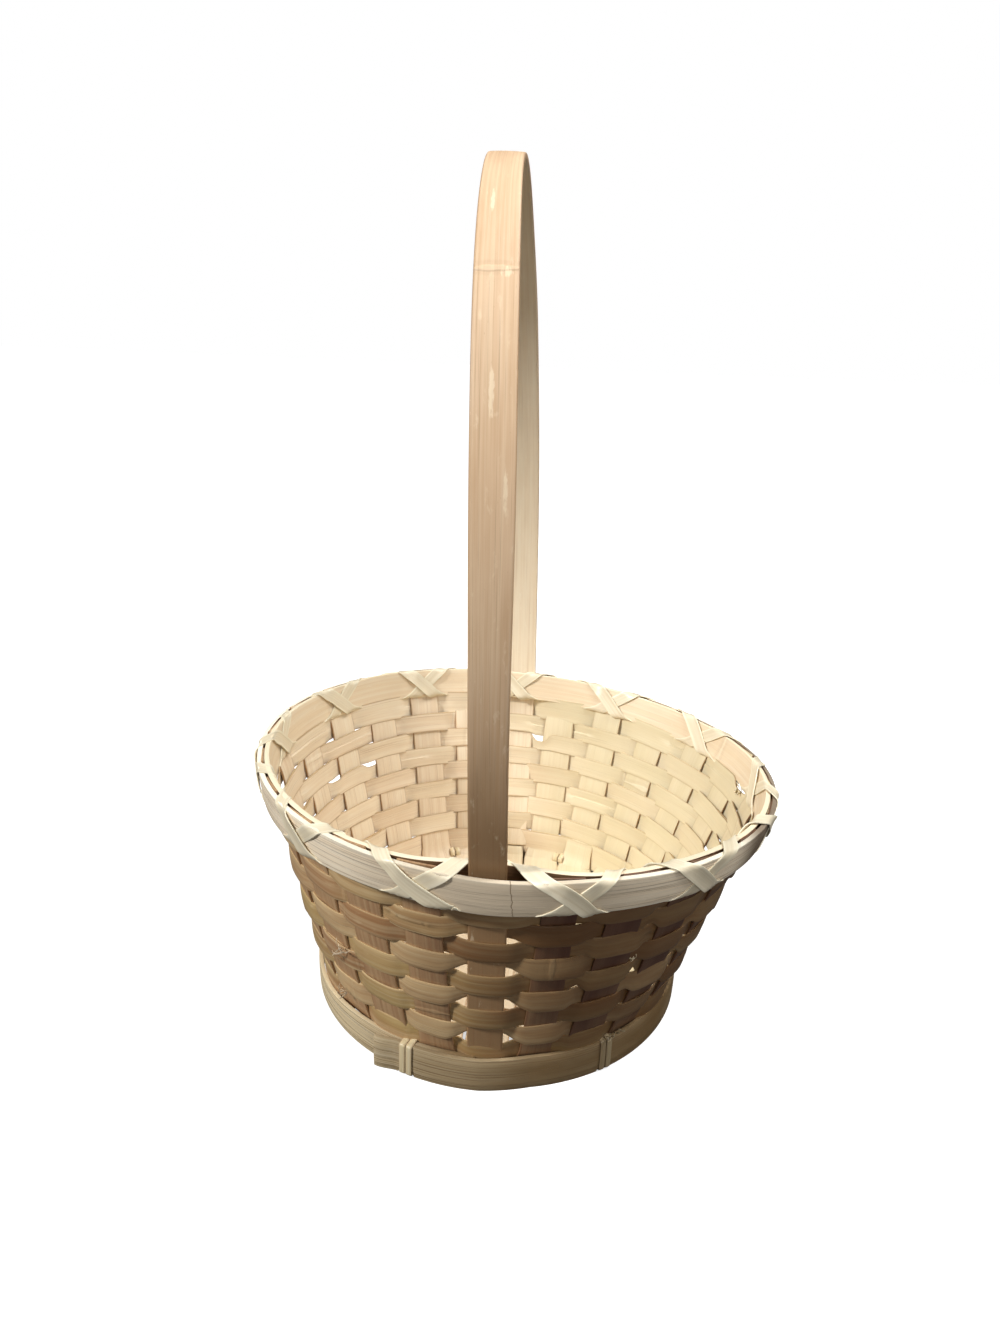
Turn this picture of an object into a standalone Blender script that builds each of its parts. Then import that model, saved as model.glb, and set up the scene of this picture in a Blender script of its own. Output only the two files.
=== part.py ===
# A round basket of split bamboo: strip stakes that cross in the base and stand up the wall,
# flat weavers in plain weave, a pair of rim hoops lashed crosswise, a foot ring and a tall fixed handle.
# Metres, +Z up. The handle stands in the YZ plane, its near leg at -Y. The foot ring stands on Z = 0.
import math

import bmesh
import bpy
from mathutils import Vector

# Clearance between neighbouring pieces
clearance = 0.0003

# Stakes: the upright strips, each one piece across the base and up both sides of the wall
stake_count = 24
lengthwise_reach = 3        # lengthwise strips on each side of the middle one
stake_width = 0.0190
stake_thickness = 0.0014
stake_bunching = math.radians(2.1)   # the stakes stand closer near the handle than at the sides
stake_top_drop = 0.0020     # stake ends below the top edge of the hoops
wall_steps = 6              # lengths into which a stake is divided on its way up the wall

# Weavers: one closed ring for each row
rows_below_hoops = 9
weaver_height = 0.0109
weaver_thickness = 0.0012
row_gap = 0.0009
binding_slot = 0.0014       # gap over the lowest row, where the foot bindings pass
lashing_slot = 0.0019       # gap under the top row, where the rim lashing passes
weaver_overrun = 0.0005     # how far a weaver stays flat past the edge of a stake

# Outline of the wall's middle surface at the base and at the rim, as half axes
base_half_x = 0.1118
base_half_y = 0.1140
rim_half_x = 0.1530
rim_half_y = 0.1500
wall_fullness = 0.12        # above 0 the wall swells outward between base and rim

# The handmade rim leans a little: it is set over sideways and back, and dips to one side
rim_bulge_x = 0.0080
rim_shift_y = 0.0115
rim_dip_x = 0.050
rim_dip_y = 0.020

# Base
base_bend = 0.0050          # rise of the bend from the base into the wall
bend_inset = 0.0040         # how far the bend starts inside the wall
bend_facing = 0.35          # how much a strip already faces outward where it leaves the base

# Rim hoops
hoop_height = 0.0189
hoop_thickness = 0.0030
hoop_ease = 0.0006          # slack between the round hoops and the flats of the weave
outer_hoop_spring = 0.0020  # the outer hoop springs away from the wall at the handle's legs
inner_hoop_spring = 0.0008
spring_spread = math.radians(11)
hoop_segments = 72

# Rim lashing: two strips of opposite hand, wound over the hoops
lashing_thickness = 0.0008
lashing_slant = 0.0122      # length of the strip's edge line where it slants over the top of a hoop
lashing_pinch = 0.0084      # and where it is drawn through the gap between two stakes
lashing_corner = 0.0012     # where the strip starts to turn round a hoop's edge
lashing_foot = 0.44         # share of a stake pitch from the crossing to the strip's lowest place
lashing_crown = 0.32        # and to its highest place
face_shares = (0.03, 0.35, 0.65, 0.97)   # where the strip is laid down on its way up a hoop's face

# Handle
handle_width = 0.0204
handle_thickness = 0.0036
leg_width = 0.0188
leg_thickness = 0.0022
handle_spread = 0.0170      # how far the handle stands out past the rim at its widest
handle_widest = 0.120       # height of the widest place above the rim
handle_rise = 0.332         # height of the handle's middle line above the rim
handle_squareness = 2.2
handle_lean = 0.0105        # the top leans sideways by this much
handle_leg_steps = 6
handle_rise_steps = 4       # from the rim to the widest place
handle_arch_steps = 34

# Foot ring: one strip bent round, its ends lapped at the front left
ring_height = 0.0200
ring_thickness = 0.0024
ring_fit = 0.0014           # from the wall's middle surface to the ring
ring_outer_end = math.radians(-33.5)
ring_lap = math.radians(30)
ring_lap_run_out = math.radians(14)
ring_inner_end = math.radians(1.4)   # the inner end stops this far before the outer layer lifts off
ring_segments = 60
ring_notch = 0.0014         # the bindings pass under the ring in shallow notches
notch_side = 0.0008
notch_margin = 1.2          # the ring has no other section within this many half notches

# Foot bindings: two wraps side by side in the gap between two stakes
binding_gaps = (-1.5, 2.5, 10.5, 13.5)
binding_width = 0.0030
binding_spacing = 0.0006
binding_thickness = 0.0006

# Colours and finish
cane = (0.78, 0.62, 0.38, 1.0)
pale_cane = (0.84, 0.76, 0.55, 1.0)
warm_cane = (0.66, 0.47, 0.28, 1.0)
grey_cane = (0.70, 0.61, 0.47, 1.0)
cane_roughness = 0.55
smooth_cane_roughness = 0.40
sharp_edge = math.radians(40)

# Small steps along the wall that give its sideways and upward directions
probe_turn = 0.002
probe_rise = 0.0002

step = 2 * math.pi / stake_count
half_turn = stake_count // 2

# Heights that follow from the rows
stake_half = stake_thickness / 2
weaver_half = weaver_thickness / 2
leg_half = leg_thickness / 2
floor_height = ring_height - base_bend

# The wall slopes outward, which lowers the outer edge of the lowest weaver towards the ring
wall_rise = rows_below_hoops * (weaver_height + row_gap) + hoop_height
wall_spread = max(rim_half_x - base_half_x + rim_bulge_x, rim_half_y - base_half_y + rim_shift_y)
lowest_slope = math.atan((1 + wall_fullness) * wall_spread / wall_rise)
first_row = ring_height + clearance + (leg_half + clearance + weaver_thickness) * math.sin(lowest_slope)


def row_bottom(row):
    height = first_row + row * (weaver_height + row_gap)
    if row > 0:
        height += binding_slot - row_gap
    if row >= rows_below_hoops:
        height += lashing_slot - row_gap
    return height


hoop_bottom = row_bottom(rows_below_hoops) - clearance
rim_height = hoop_bottom + hoop_height
wall_bottom = ring_height


def stake_angle(place):
    """Angle of a stake, or of a gap at a half number, counted from the near leg."""
    angle = place * step
    return angle - stake_bunching * math.sin(2 * angle)


def wall_point(angle, height):
    share = (height - wall_bottom) / (rim_height - wall_bottom)
    swell = share * (1 + wall_fullness * (1 - share))
    across = base_half_x + (rim_half_x - base_half_x) * swell
    along = base_half_y + (rim_half_y - base_half_y) * swell
    x = across * math.sin(angle) + rim_bulge_x * share * math.sin(angle) ** 2
    y = -along * math.cos(angle) + rim_shift_y * share
    z = height - share * (rim_dip_x * x + rim_dip_y * y)
    return Vector((x, y, z))


def wall_frame(angle, height):
    """Point on the wall's middle surface, with its sideways, upward and outward directions."""
    here = wall_point(angle, height)
    side = (wall_point(angle + probe_turn, height) - wall_point(angle - probe_turn, height)).normalized()
    up = (wall_point(angle, height + probe_rise) - here).normalized()
    out = side.cross(up).normalized()
    return here, side, up, out


def place(angle, height, sideways=0.0, outward=0.0):
    here, side, _, out = wall_frame(angle, height)
    return here + side * sideways + out * outward


def spring(angle, reach):
    near = math.remainder(angle, 2 * math.pi)
    far = math.remainder(angle - math.pi, 2 * math.pi)
    return reach * (math.exp(-(near / spring_spread) ** 2) + math.exp(-(far / spring_spread) ** 2))


def stake_reach(stake):
    """Half thickness of what stands at a stake's place: the handle's legs are thicker."""
    return leg_half if stake % half_turn == 0 else stake_half


weave_half = stake_half + clearance + weaver_thickness
outer_hoop_gap = weave_half + clearance + hoop_ease
inner_hoop_gap = weave_half + clearance
leg_extra = leg_half - stake_half


def outer_hoop_inside(angle):
    return outer_hoop_gap + spring(angle, leg_extra + outer_hoop_spring)


def outer_hoop_outside(angle):
    return outer_hoop_inside(angle) + hoop_thickness


def inner_hoop_outside(angle):
    return -inner_hoop_gap - spring(angle, leg_extra + inner_hoop_spring)


def inner_hoop_inside(angle):
    return inner_hoop_outside(angle) - hoop_thickness


def make_material(name, colour, roughness):
    material = bpy.data.materials.new(name)
    material.use_nodes = True
    shader = material.node_tree.nodes["Principled BSDF"]
    shader.inputs["Base Color"].default_value = colour
    shader.inputs["Roughness"].default_value = roughness
    shader.inputs["Metallic"].default_value = 0.0
    return material


def make_object(name, mesh_builder, material_colour, roughness):
    mesh = bpy.data.meshes.new(name)
    mesh_builder.normal_update()
    bmesh.ops.recalc_face_normals(mesh_builder, faces=mesh_builder.faces)
    mesh_builder.to_mesh(mesh)
    mesh_builder.free()
    mesh.shade_smooth()
    mesh.set_sharp_from_angle(angle=sharp_edge)
    mesh.materials.append(make_material(name + "_finish", material_colour, roughness))
    made = bpy.data.objects.new(name, mesh)
    bpy.context.collection.objects.link(made)
    return made


def make_band(name, rings, closed, colour, roughness):
    """Skins a row of equal polygons; a closed band joins its last polygon to its first."""
    builder = bmesh.new()
    loops = [[builder.verts.new(corner) for corner in ring] for ring in rings]
    corners = len(loops[0])
    pairs = list(zip(loops, loops[1:]))
    if closed:
        pairs.append((loops[-1], loops[0]))
    else:
        builder.faces.new(loops[0])
        builder.faces.new(loops[-1])
    for first, second in pairs:
        for corner in range(corners):
            following = (corner + 1) % corners
            builder.faces.new((first[corner], first[following], second[following], second[corner]))
    return make_object(name, builder, colour, roughness)


def strip_section(centre, half_side, half_out):
    return [
        centre - half_side - half_out,
        centre + half_side - half_out,
        centre + half_side + half_out,
        centre - half_side + half_out,
    ]


def make_weaver(row):
    """One row: flat over each stake, alternately outside and inside, and slanting between."""
    bottom = row_bottom(row)
    top = bottom + weaver_height
    rings = []
    for stake in range(stake_count):
        outward = 1 if (stake + row) % 2 == 0 else -1
        offset = outward * (stake_reach(stake) + clearance + weaver_half)
        width = leg_width if stake % half_turn == 0 else stake_width
        flat_half = width / 2 + weaver_overrun
        angle = stake_angle(stake)
        for sideways in (-flat_half, flat_half):
            rings.append([
                place(angle, bottom, sideways, offset - weaver_half),
                place(angle, bottom, sideways, offset + weaver_half),
                place(angle, top, sideways, offset + weaver_half),
                place(angle, top, sideways, offset - weaver_half),
            ])
    return make_band(f"weaver_{row + 1:02d}", rings, True, cane, cane_roughness)


def wall_sections(stake, top, turned):
    """Middle, half width and half thickness of a stake at each level from its top to the bend."""
    angle = stake_angle(stake)
    sections = []
    steps = wall_steps if top > wall_bottom else 0
    for level in range(steps + 1):
        height = top + (wall_bottom - top) * level / max(steps, 1)
        here, side, _, out = wall_frame(angle, height)
        if turned:
            side = -side
        sections.append((here, side * stake_width / 2, out * stake_half))
    return sections


def crossing_places(first, second, others):
    """Distances along a base strip at which it crosses the strips that run the other way."""
    run = (second - first).normalized()
    return sorted((other - first).dot(run) for other in others)


def floor_corner(stake):
    """Where a strip leaves the base: just inside the bend, level with the base."""
    here, _, _, out = wall_frame(stake_angle(stake), wall_bottom)
    inward = Vector((-out.x, -out.y, 0)).normalized()
    return Vector((here.x, here.y, floor_height)) + inward * bend_inset


def bend_section(stake, corner, turned):
    """Section of a strip at the bend, where it faces between down and outward."""
    _, side, _, out = wall_frame(stake_angle(stake), wall_bottom)
    if turned:
        side = -side
    facing = (out * bend_facing + Vector((0, 0, -1))).normalized()
    return corner, side * stake_width / 2, facing * stake_half


def make_base_strip(name, first_stake, last_stake, crossed, starts_up, top):
    """A strip from the top of one stake down, across the base and up to the opposite one."""
    first = floor_corner(first_stake)
    last = floor_corner(last_stake)
    run = (last - first).normalized()
    half_side = run.cross(Vector((0, 0, 1))) * stake_width / 2
    half_down = Vector((0, 0, -stake_half))
    layer = (stake_thickness + clearance) / 2
    flat_half = stake_width / 2 + clearance

    sections = wall_sections(first_stake, top, False)
    sections.append(bend_section(first_stake, first, False))
    level = 1 if starts_up else -1
    for distance in crossed:
        for edge in (-flat_half, flat_half):
            centre = first + run * (distance + edge) + Vector((0, 0, level * layer))
            sections.append((centre, half_side, half_down))
        level = -level
    sections.append(bend_section(last_stake, last, True))
    sections.extend(reversed(wall_sections(last_stake, top, True)))
    rings = [strip_section(*section) for section in sections]
    return make_band(name, rings, False, cane, cane_roughness)


def make_base_strips():
    """Lengthwise strips run with the handle, crosswise strips across it, in plain weave."""
    lengthwise = list(range(-lengthwise_reach, lengthwise_reach + 1))
    crosswise = list(range(lengthwise_reach + 1, half_turn - lengthwise_reach))
    stake_top = rim_height - stake_top_drop
    for number, stake in enumerate(lengthwise):
        first = floor_corner(stake)
        last = floor_corner(half_turn - stake)
        others = [floor_corner(other) for other in crosswise]
        crossed = crossing_places(first, last, others)
        top = wall_bottom if stake == 0 else stake_top
        name = f"stake_lengthwise_{number + 1}"
        make_base_strip(name, stake, half_turn - stake, crossed, number % 2 == 0, top)
    for number, stake in enumerate(crosswise):
        first = floor_corner(stake)
        last = floor_corner(-stake)
        others = [floor_corner(other) for other in lengthwise]
        crossed = crossing_places(first, last, others)
        name = f"stake_crosswise_{number + 1}"
        make_base_strip(name, stake, -stake, crossed, number % 2 == 1, stake_top)


def make_hoop(name, inside, outside, colour):
    rings = []
    for segment in range(hoop_segments):
        angle = 2 * math.pi * segment / hoop_segments
        rings.append([
            place(angle, hoop_bottom, 0, inside(angle)),
            place(angle, hoop_bottom, 0, outside(angle)),
            place(angle, rim_height, 0, outside(angle)),
            place(angle, rim_height, 0, inside(angle)),
        ])
    return make_band(name, rings, True, colour, smooth_cane_roughness)


def make_lashing(name, hand, lift, colour):
    """A strip wound over both hoops, with an outside pass over each second stake."""
    seat = clearance + lashing_thickness / 2
    rise = lift + seat
    half_out = lashing_thickness / 2
    foot = (lashing_pinch / 2, hoop_bottom - seat, -1)
    crown = (lashing_slant / 2, rim_height + rise, 1)
    low = hoop_bottom + lashing_corner
    high = rim_height - lashing_corner
    stations = []
    for turn in range(half_turn):
        outside = 1 + 2 * turn
        inside = outside + 1
        stations.append((outside - lashing_foot, 1) + foot)
        for share in face_shares:
            where = -lashing_foot + (lashing_foot + lashing_crown) * share
            spread = (lashing_pinch + (lashing_slant - lashing_pinch) * share) / 2
            stations.append((outside + where, 1, spread, low + (high - low) * share, 0))
        stations.append((outside + lashing_crown, 1) + crown)
        stations.append((inside - lashing_crown, -1) + crown)
        for share in reversed(face_shares):
            where = lashing_foot - (lashing_foot + lashing_crown) * share
            spread = (lashing_pinch + (lashing_slant - lashing_pinch) * share) / 2
            stations.append((inside + where, -1, spread, low + (high - low) * share, 0))
        stations.append((inside + lashing_foot, -1) + foot)

    rings = []
    for where, face, spread, height, edge in stations:
        angle = stake_angle(hand * where)
        here, side, up, out = wall_frame(angle, height)
        surface = outer_hoop_outside(angle) if face > 0 else inner_hoop_inside(angle)
        stand_off = seat if edge < 0 else rise
        centre = here + out * (surface + face * stand_off)
        facing = (out * face + up * edge).normalized()
        rings.append(strip_section(centre, side * spread, facing * half_out))
    return make_band(name, rings, True, colour, smooth_cane_roughness)


def leg_sections(angle, turned):
    """A leg of the handle from the top of the foot ring up to the rim."""
    leg_bottom = ring_height + clearance + leg_half * math.sin(lowest_slope)
    sections = []
    for level in range(handle_leg_steps + 1):
        height = leg_bottom + (rim_height - leg_bottom) * level / handle_leg_steps
        here, side, _, out = wall_frame(angle, height)
        if turned:
            side = -side
        sections.append((here, side * leg_width / 2, out * leg_half))
    return sections


def arch_points():
    """Middle line of the handle above the rim, from just over the near leg to just over the far one."""
    rim_near = wall_point(0, rim_height)
    rim_far = wall_point(math.pi, rim_height)
    middle = (rim_near + rim_far) / 2
    rim_half = (rim_far - rim_near).length / 2
    widest = rim_half + handle_spread

    def arch_point(sign, rise):
        if rise < handle_widest:
            reach = widest - handle_spread * ((handle_widest - rise) / handle_widest) ** 2
        else:
            share = (rise - handle_widest) / (handle_rise - handle_widest)
            reach = widest * max(0.0, 1 - share ** handle_squareness) ** (1 / handle_squareness)
        rim_drop = -rim_dip_y * sign * rim_half * (1 - min(rise / handle_widest, 1))
        lean = -handle_lean * rise / handle_rise
        return middle + Vector((lean, sign * reach, rise + rim_drop))

    straight = [handle_widest * number / handle_rise_steps for number in range(1, handle_rise_steps)]
    path = [arch_point(-1, rise) for rise in straight]
    for number in range(handle_arch_steps + 1):
        turn = math.pi * number / handle_arch_steps
        sine = math.sin(turn)
        rise = handle_widest + (handle_rise - handle_widest) * max(sine, 0.0) ** (2 / handle_squareness)
        sign = -1 if number * 2 <= handle_arch_steps else 1
        path.append(arch_point(sign, min(rise, handle_rise)))
    path += [arch_point(1, rise) for rise in reversed(straight)]
    return path


def arch_sections():
    """The handle grows wider and thicker from each leg to its widest place."""
    points = [wall_point(0, rim_height)] + arch_points() + [wall_point(math.pi, rim_height)]
    sections = []
    for index in range(1, len(points) - 1):
        travel = (points[index + 1] - points[index - 1]).normalized()
        across = Vector((1, 0, 0))
        across = (across - travel * across.dot(travel)).normalized()
        out = across.cross(travel)
        steps_from_rim = min(index, len(points) - 1 - index)
        share = min(steps_from_rim / handle_rise_steps, 1.0)
        width = leg_width + (handle_width - leg_width) * share
        thickness = leg_thickness + (handle_thickness - leg_thickness) * share
        sections.append((points[index], across * width / 2, out * thickness / 2))
    return sections


def make_handle():
    sections = leg_sections(0.0, False) + arch_sections() + leg_sections(math.pi, True)[::-1]
    rings = [strip_section(*section) for section in sections]
    return make_band("handle", rings, False, warm_cane, smooth_cane_roughness)


def ring_point(angle, outward, height):
    x = (base_half_x + outward) * math.sin(angle)
    y = -(base_half_y + outward) * math.cos(angle)
    return Vector((x, y, height))


def ring_inside(angle):
    """Inner face of the foot ring; over the lap it rides outside the other end."""
    lap_end = ring_outer_end + ring_lap
    if angle <= lap_end:
        lift = 1.0
    else:
        lift = max(0.0, 1 - (angle - lap_end) / ring_lap_run_out)
    return ring_fit + lift * (ring_thickness + clearance)


def binding_angles():
    return [stake_angle(gap) for gap in binding_gaps]


def outermost_ring(angle):
    """Outer face of the ring where a binding passes, on the outer layer of the lap."""
    turned = (angle - ring_outer_end) % (2 * math.pi) + ring_outer_end
    return ring_inside(turned) + ring_thickness


def make_foot_ring():
    """One strip from its outer end once round and on under the lap to its inner end."""
    last = ring_outer_end + 2 * math.pi + ring_lap - ring_inner_end
    length = last - ring_outer_end
    angles = [ring_outer_end + length * segment / ring_segments for segment in range(ring_segments + 1)]
    notches = []
    for centre in binding_angles():
        for lap in (0, 1):
            middle = (centre - ring_outer_end) % (2 * math.pi) + ring_outer_end + lap * 2 * math.pi
            if middle < last:
                notches.append(middle)
    binding_span = 2 * binding_width + binding_spacing
    inner_half = (binding_span / 2 + clearance) / base_half_x
    outer_half = inner_half + notch_side / base_half_x
    kept = []
    for angle in angles:
        if all(abs(angle - middle) > outer_half * notch_margin for middle in notches):
            kept.append(angle)
    for middle in notches:
        kept += [middle - outer_half, middle - inner_half, middle + inner_half, middle + outer_half]
    rings = []
    for angle in sorted(kept):
        notched = any(abs(angle - middle) < (inner_half + outer_half) / 2 for middle in notches)
        bottom = ring_notch if notched else 0.0
        inside = ring_inside(angle)
        outside = inside + ring_thickness
        rings.append([
            ring_point(angle, inside, bottom),
            ring_point(angle, outside, bottom),
            ring_point(angle, outside, ring_height),
            ring_point(angle, inside, ring_height),
        ])
    return make_band("foot_ring", rings, False, grey_cane, cane_roughness)


def offset_loop(points, distance):
    """Moves each side of a flat closed polygon outward by the distance."""
    moved = []
    count = len(points)
    for index in range(count):
        before = (points[index] - points[index - 1]).normalized()
        after = (points[(index + 1) % count] - points[index]).normalized()
        out_before = Vector((before.y, -before.x))
        out_after = Vector((after.y, -after.x))
        middle = (out_before + out_after).normalized()
        moved.append(points[index] + middle * (distance / middle.dot(out_before)))
    return moved


def make_binding(name, gap, sideways):
    """A wrap that ties the foot ring to the lowest weaver, through the gap between two stakes."""
    angle = stake_angle(gap)
    seat = clearance + binding_thickness / 2
    outside = outermost_ring(angle) + seat
    inside = ring_fit - seat
    under = ring_notch - seat
    over = first_row + weaver_height + binding_slot / 2
    low = ring_height - binding_thickness
    slack = weave_half + seat
    foot = ring_point(angle, 0, 0)
    radial = (ring_point(angle, 1.0, 0) - foot).normalized()
    tangent = Vector((-radial.y, radial.x, 0))

    def beside_wall(height, outward):
        there = place(angle, height, 0, outward) - foot
        return Vector((there.dot(radial), there.z))

    outline = [
        Vector((outside, under)),
        Vector((outside, ring_height)),
        beside_wall(over, slack),
        beside_wall(over, -slack),
        beside_wall(low, -slack),
        Vector((inside, low - slack)),
        Vector((inside, under)),
    ]
    inner = offset_loop(outline, -binding_thickness / 2)
    outer = offset_loop(outline, binding_thickness / 2)

    def corner(point, side):
        here = foot + radial * point.x + Vector((0, 0, point.y))
        return here + tangent * (sideways + side * binding_width / 2)

    rings = []
    for near, far in zip(inner, outer):
        rings.append([corner(near, -1), corner(near, 1), corner(far, 1), corner(far, -1)])
    return make_band(name, rings, True, pale_cane, smooth_cane_roughness)


def make_bindings():
    shift = (binding_width + binding_spacing) / 2
    for number, gap in enumerate(binding_gaps):
        for wrap, sideways in enumerate((-shift, shift)):
            make_binding(f"foot_binding_{number + 1}_wrap_{wrap + 1}", gap, sideways)


def centre_on_base():
    """Shifts the basket so that the middle of its bounding box stands over the origin."""
    corners = [vertex.co for thing in bpy.data.objects for vertex in thing.data.vertices]
    low = Vector([min(corner[axis] for corner in corners) for axis in range(3)])
    high = Vector([max(corner[axis] for corner in corners) for axis in range(3)])
    shift = Vector(((low.x + high.x) / 2, (low.y + high.y) / 2, low.z))
    for thing in bpy.data.objects:
        for vertex in thing.data.vertices:
            vertex.co -= shift


def main():
    for leftover in list(bpy.data.objects):
        bpy.data.objects.remove(leftover, do_unlink=True)
    make_base_strips()
    for row in range(rows_below_hoops + 1):
        make_weaver(row)
    make_hoop("rim_hoop_outer", outer_hoop_inside, outer_hoop_outside, grey_cane)
    make_hoop("rim_hoop_inner", inner_hoop_inside, inner_hoop_outside, cane)
    make_lashing("rim_lashing_under", 1, 0.0, pale_cane)
    make_lashing("rim_lashing_over", -1, lashing_thickness + 2 * clearance, pale_cane)
    make_handle()
    make_foot_ring()
    make_bindings()
    centre_on_base()


main()
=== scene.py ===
# The looks of a round split-bamboo basket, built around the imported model.
# Metres, +Z up. The near leg of the handle is at -Y. Places round the wall are counted in stakes:
# 0 is the near leg, 6 is at +X and 12 is the far leg.
import bpy
import math
from mathutils import Matrix, Vector, noise


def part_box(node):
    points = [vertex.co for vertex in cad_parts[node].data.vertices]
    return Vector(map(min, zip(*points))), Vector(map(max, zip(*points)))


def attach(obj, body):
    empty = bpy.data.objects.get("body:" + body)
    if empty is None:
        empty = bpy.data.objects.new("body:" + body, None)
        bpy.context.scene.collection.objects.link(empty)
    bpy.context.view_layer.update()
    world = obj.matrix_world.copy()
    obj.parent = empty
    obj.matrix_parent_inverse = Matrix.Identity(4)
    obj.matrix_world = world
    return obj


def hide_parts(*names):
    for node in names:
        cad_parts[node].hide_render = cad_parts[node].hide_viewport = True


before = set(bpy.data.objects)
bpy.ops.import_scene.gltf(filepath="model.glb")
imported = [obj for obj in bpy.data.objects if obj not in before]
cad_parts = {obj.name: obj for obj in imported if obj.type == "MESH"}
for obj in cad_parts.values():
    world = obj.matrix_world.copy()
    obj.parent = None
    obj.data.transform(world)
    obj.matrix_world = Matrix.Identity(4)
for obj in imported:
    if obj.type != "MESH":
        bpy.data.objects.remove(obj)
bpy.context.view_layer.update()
print("frame loaded with", len(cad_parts), "nodes")

fullTurn = 2 * math.pi
basket = dict(
    stakes=24,
    bunching=math.radians(2.1),       # the stakes stand closer near the handle
    footX=0.1118, footY=0.1140,       # half axes of the wall at its foot
    rimX=0.1530, rimY=0.1500,         # and at the rim
    fullness=0.12,
    bulgeX=0.0080, setBack=0.0115,    # the rim is set over
    dipX=0.050, dipY=0.020,           # and dips to one side
    clearance=0.0003,
    turnStep=0.002, riseStep=0.0002,  # small steps that give the wall's directions
)
# A setting called stray holds the size, pace and seed of a wandering number
stake = dict(
    width=0.0218, thickness=0.0012, packedThickness=0.0014, bevel=0.00022, crown=0.00015,
    drop=0.0002, reach=3, step=0.0035,
    baseSpread=0.15, baseBlend=0.004,     # it is wider on the base
    narrow={1: 0.84, -1: 0.94},           # two of them are narrower on the near side
    narrowFrom=-0.090, narrowTo=-0.045,
    sway=0.00022, swayOver=0.010,         # it gives way to the rows
    layer=0.00088, squareness=2.6,        # and goes over and under the strips that it crosses
    widthStray=(0.03, 0.12, 80), driftStray=(0.0006, 14, 3), driftOver=0.030,
)
weaver = dict(
    rows=10,
    height=0.0109, gap=0.0009, firstGap=0.0014, lastGap=0.0019,
    packedThickness=0.0012,
    thickness=0.00085, bevel=0.00018, crown=0.00034,
    tall=0.0134, crossTall=0.0142,        # its width over a stake and where it crosses between two
    legPinch=0.0063, legWedge=0.0154,     # beside the near leg some rows are drawn up in a wedge,
    legReach=0.78, highWedge=0.55,        # the highest of them less
    glint=0.0042, glintWidth=0.11,        # at the front right most crossings are a little open
    glintFrom=1, glintTo=6, glintLeast=0.7, glintStray=(1.0, 1.9, 80),
    lowReach=0.0045,                      # the first row reaches down inside the foot ring
    topReach=0.0026,                      # the last row but one reaches up behind the hoops
    sag=(0.0040, 0.0030, 0.0012),         # the first rows hang lower at the near leg
    sagWidth=1.3,
    topRaise=0.0045, topPress=0.5,        # the last row is pushed up between the hoops
    swingOut=0.00180, swingIn=0.00120,    # how far it stands out or in where it passes a stake
    legSwing=0.00050, legWidth=0.42,      # and how much further at the handle's thicker legs
    squareness=2.0,                       # how quickly it crosses between two stakes
    cant=math.radians(-6.0),              # its lower edge is loose and stands out
    crowd=0.0025, crowdUnder=0.012,       # near the rim the weave leans out to the outer hoop
    lap=1.75, lapLift=0.00046,            # places by which its two ends overlap
    slitStep=0.00038, slitRun=8,          # the halves of a split weaver step by twice this
    steps=16,                             # columns from stake to stake
    swingStray=(0.10, 0.9, 0), middleStray=(0.0004, 0.8, 20),
    tallStray=(0.03, 0.5, 40), cantStray=(0.8, 0.7, 60),
)
foot = dict(
    height=0.0200, thickness=0.0024, bevel=0.0005, crown=0.00025,
    fit=0.0014, bend=0.0050, inset=0.0040,
    outerEnd=math.radians(-31.4), innerEnd=math.radians(1.4),
    lap=math.radians(30), runOut=math.radians(14),
    notch=0.0014, notchSide=0.0008,
    standOff=0.0019, standOffAt=math.radians(-56), standOffSpread=math.radians(14),
    endSpring=0.0036, endSpringOver=math.radians(7),    # the lap's outer end has sprung off
    topStray=(0.00035, 2.2, 140), steps=400,
)
hoop = dict(
    height=0.0189, thickness=0.0030, bevel=0.0005, crown=0.0002, ease=0.0006,
    pinch=0.0012,                       # what is left between the hoops away from the handle
    springOut=0.0024, springIn=0.0050,  # how far they spring apart at its legs,
    springNear=0.0032,                  # and the inner one more at the near leg
    spread=math.radians(11),
    flare=0.07,                         # the outer hoop's lower edge stands out
    wave=0.0004, wavePace=3,            # their upper edges aren't quite even
    steps=432,
)
leg = dict(width=0.0206, thickness=0.0022)
fiveLines = (-0.5, -0.25, 0.0, 0.25, 0.5)   # the lines along a strip, in shares of its width

# Heights and gaps that follow from the sizes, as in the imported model
stakeHalf = stake["packedThickness"] / 2
legHalf = leg["thickness"] / 2
lastRow = weaver["rows"] - 1
wallRise = lastRow * (weaver["height"] + weaver["gap"]) + hoop["height"]
wallSpread = max(basket["rimX"] - basket["footX"] + basket["bulgeX"],
                 basket["rimY"] - basket["footY"] + basket["setBack"])
lowestSlope = math.atan((1 + basket["fullness"]) * wallSpread / wallRise)
firstRow = (foot["height"] + basket["clearance"]
            + (legHalf + basket["clearance"] + weaver["packedThickness"]) * math.sin(lowestSlope))


def rowBottom(row):
    height = firstRow + row * (weaver["height"] + weaver["gap"])
    if row > 0:
        height += weaver["firstGap"] - weaver["gap"]
    if row >= lastRow:
        height += weaver["lastGap"] - weaver["gap"]
    return height


hoopBottom = rowBottom(lastRow) - basket["clearance"]
rimHeight = hoopBottom + hoop["height"]
floorHeight = foot["height"] - foot["bend"]
weaveHalf = stakeHalf + basket["clearance"] + weaver["packedThickness"]
footOutside = foot["fit"] + foot["thickness"]
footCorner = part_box("foot_ring")[1]
centre = Vector((basket["footX"] + footOutside - footCorner.x,
                 basket["footY"] + footOutside - footCorner.y, 0))


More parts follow.
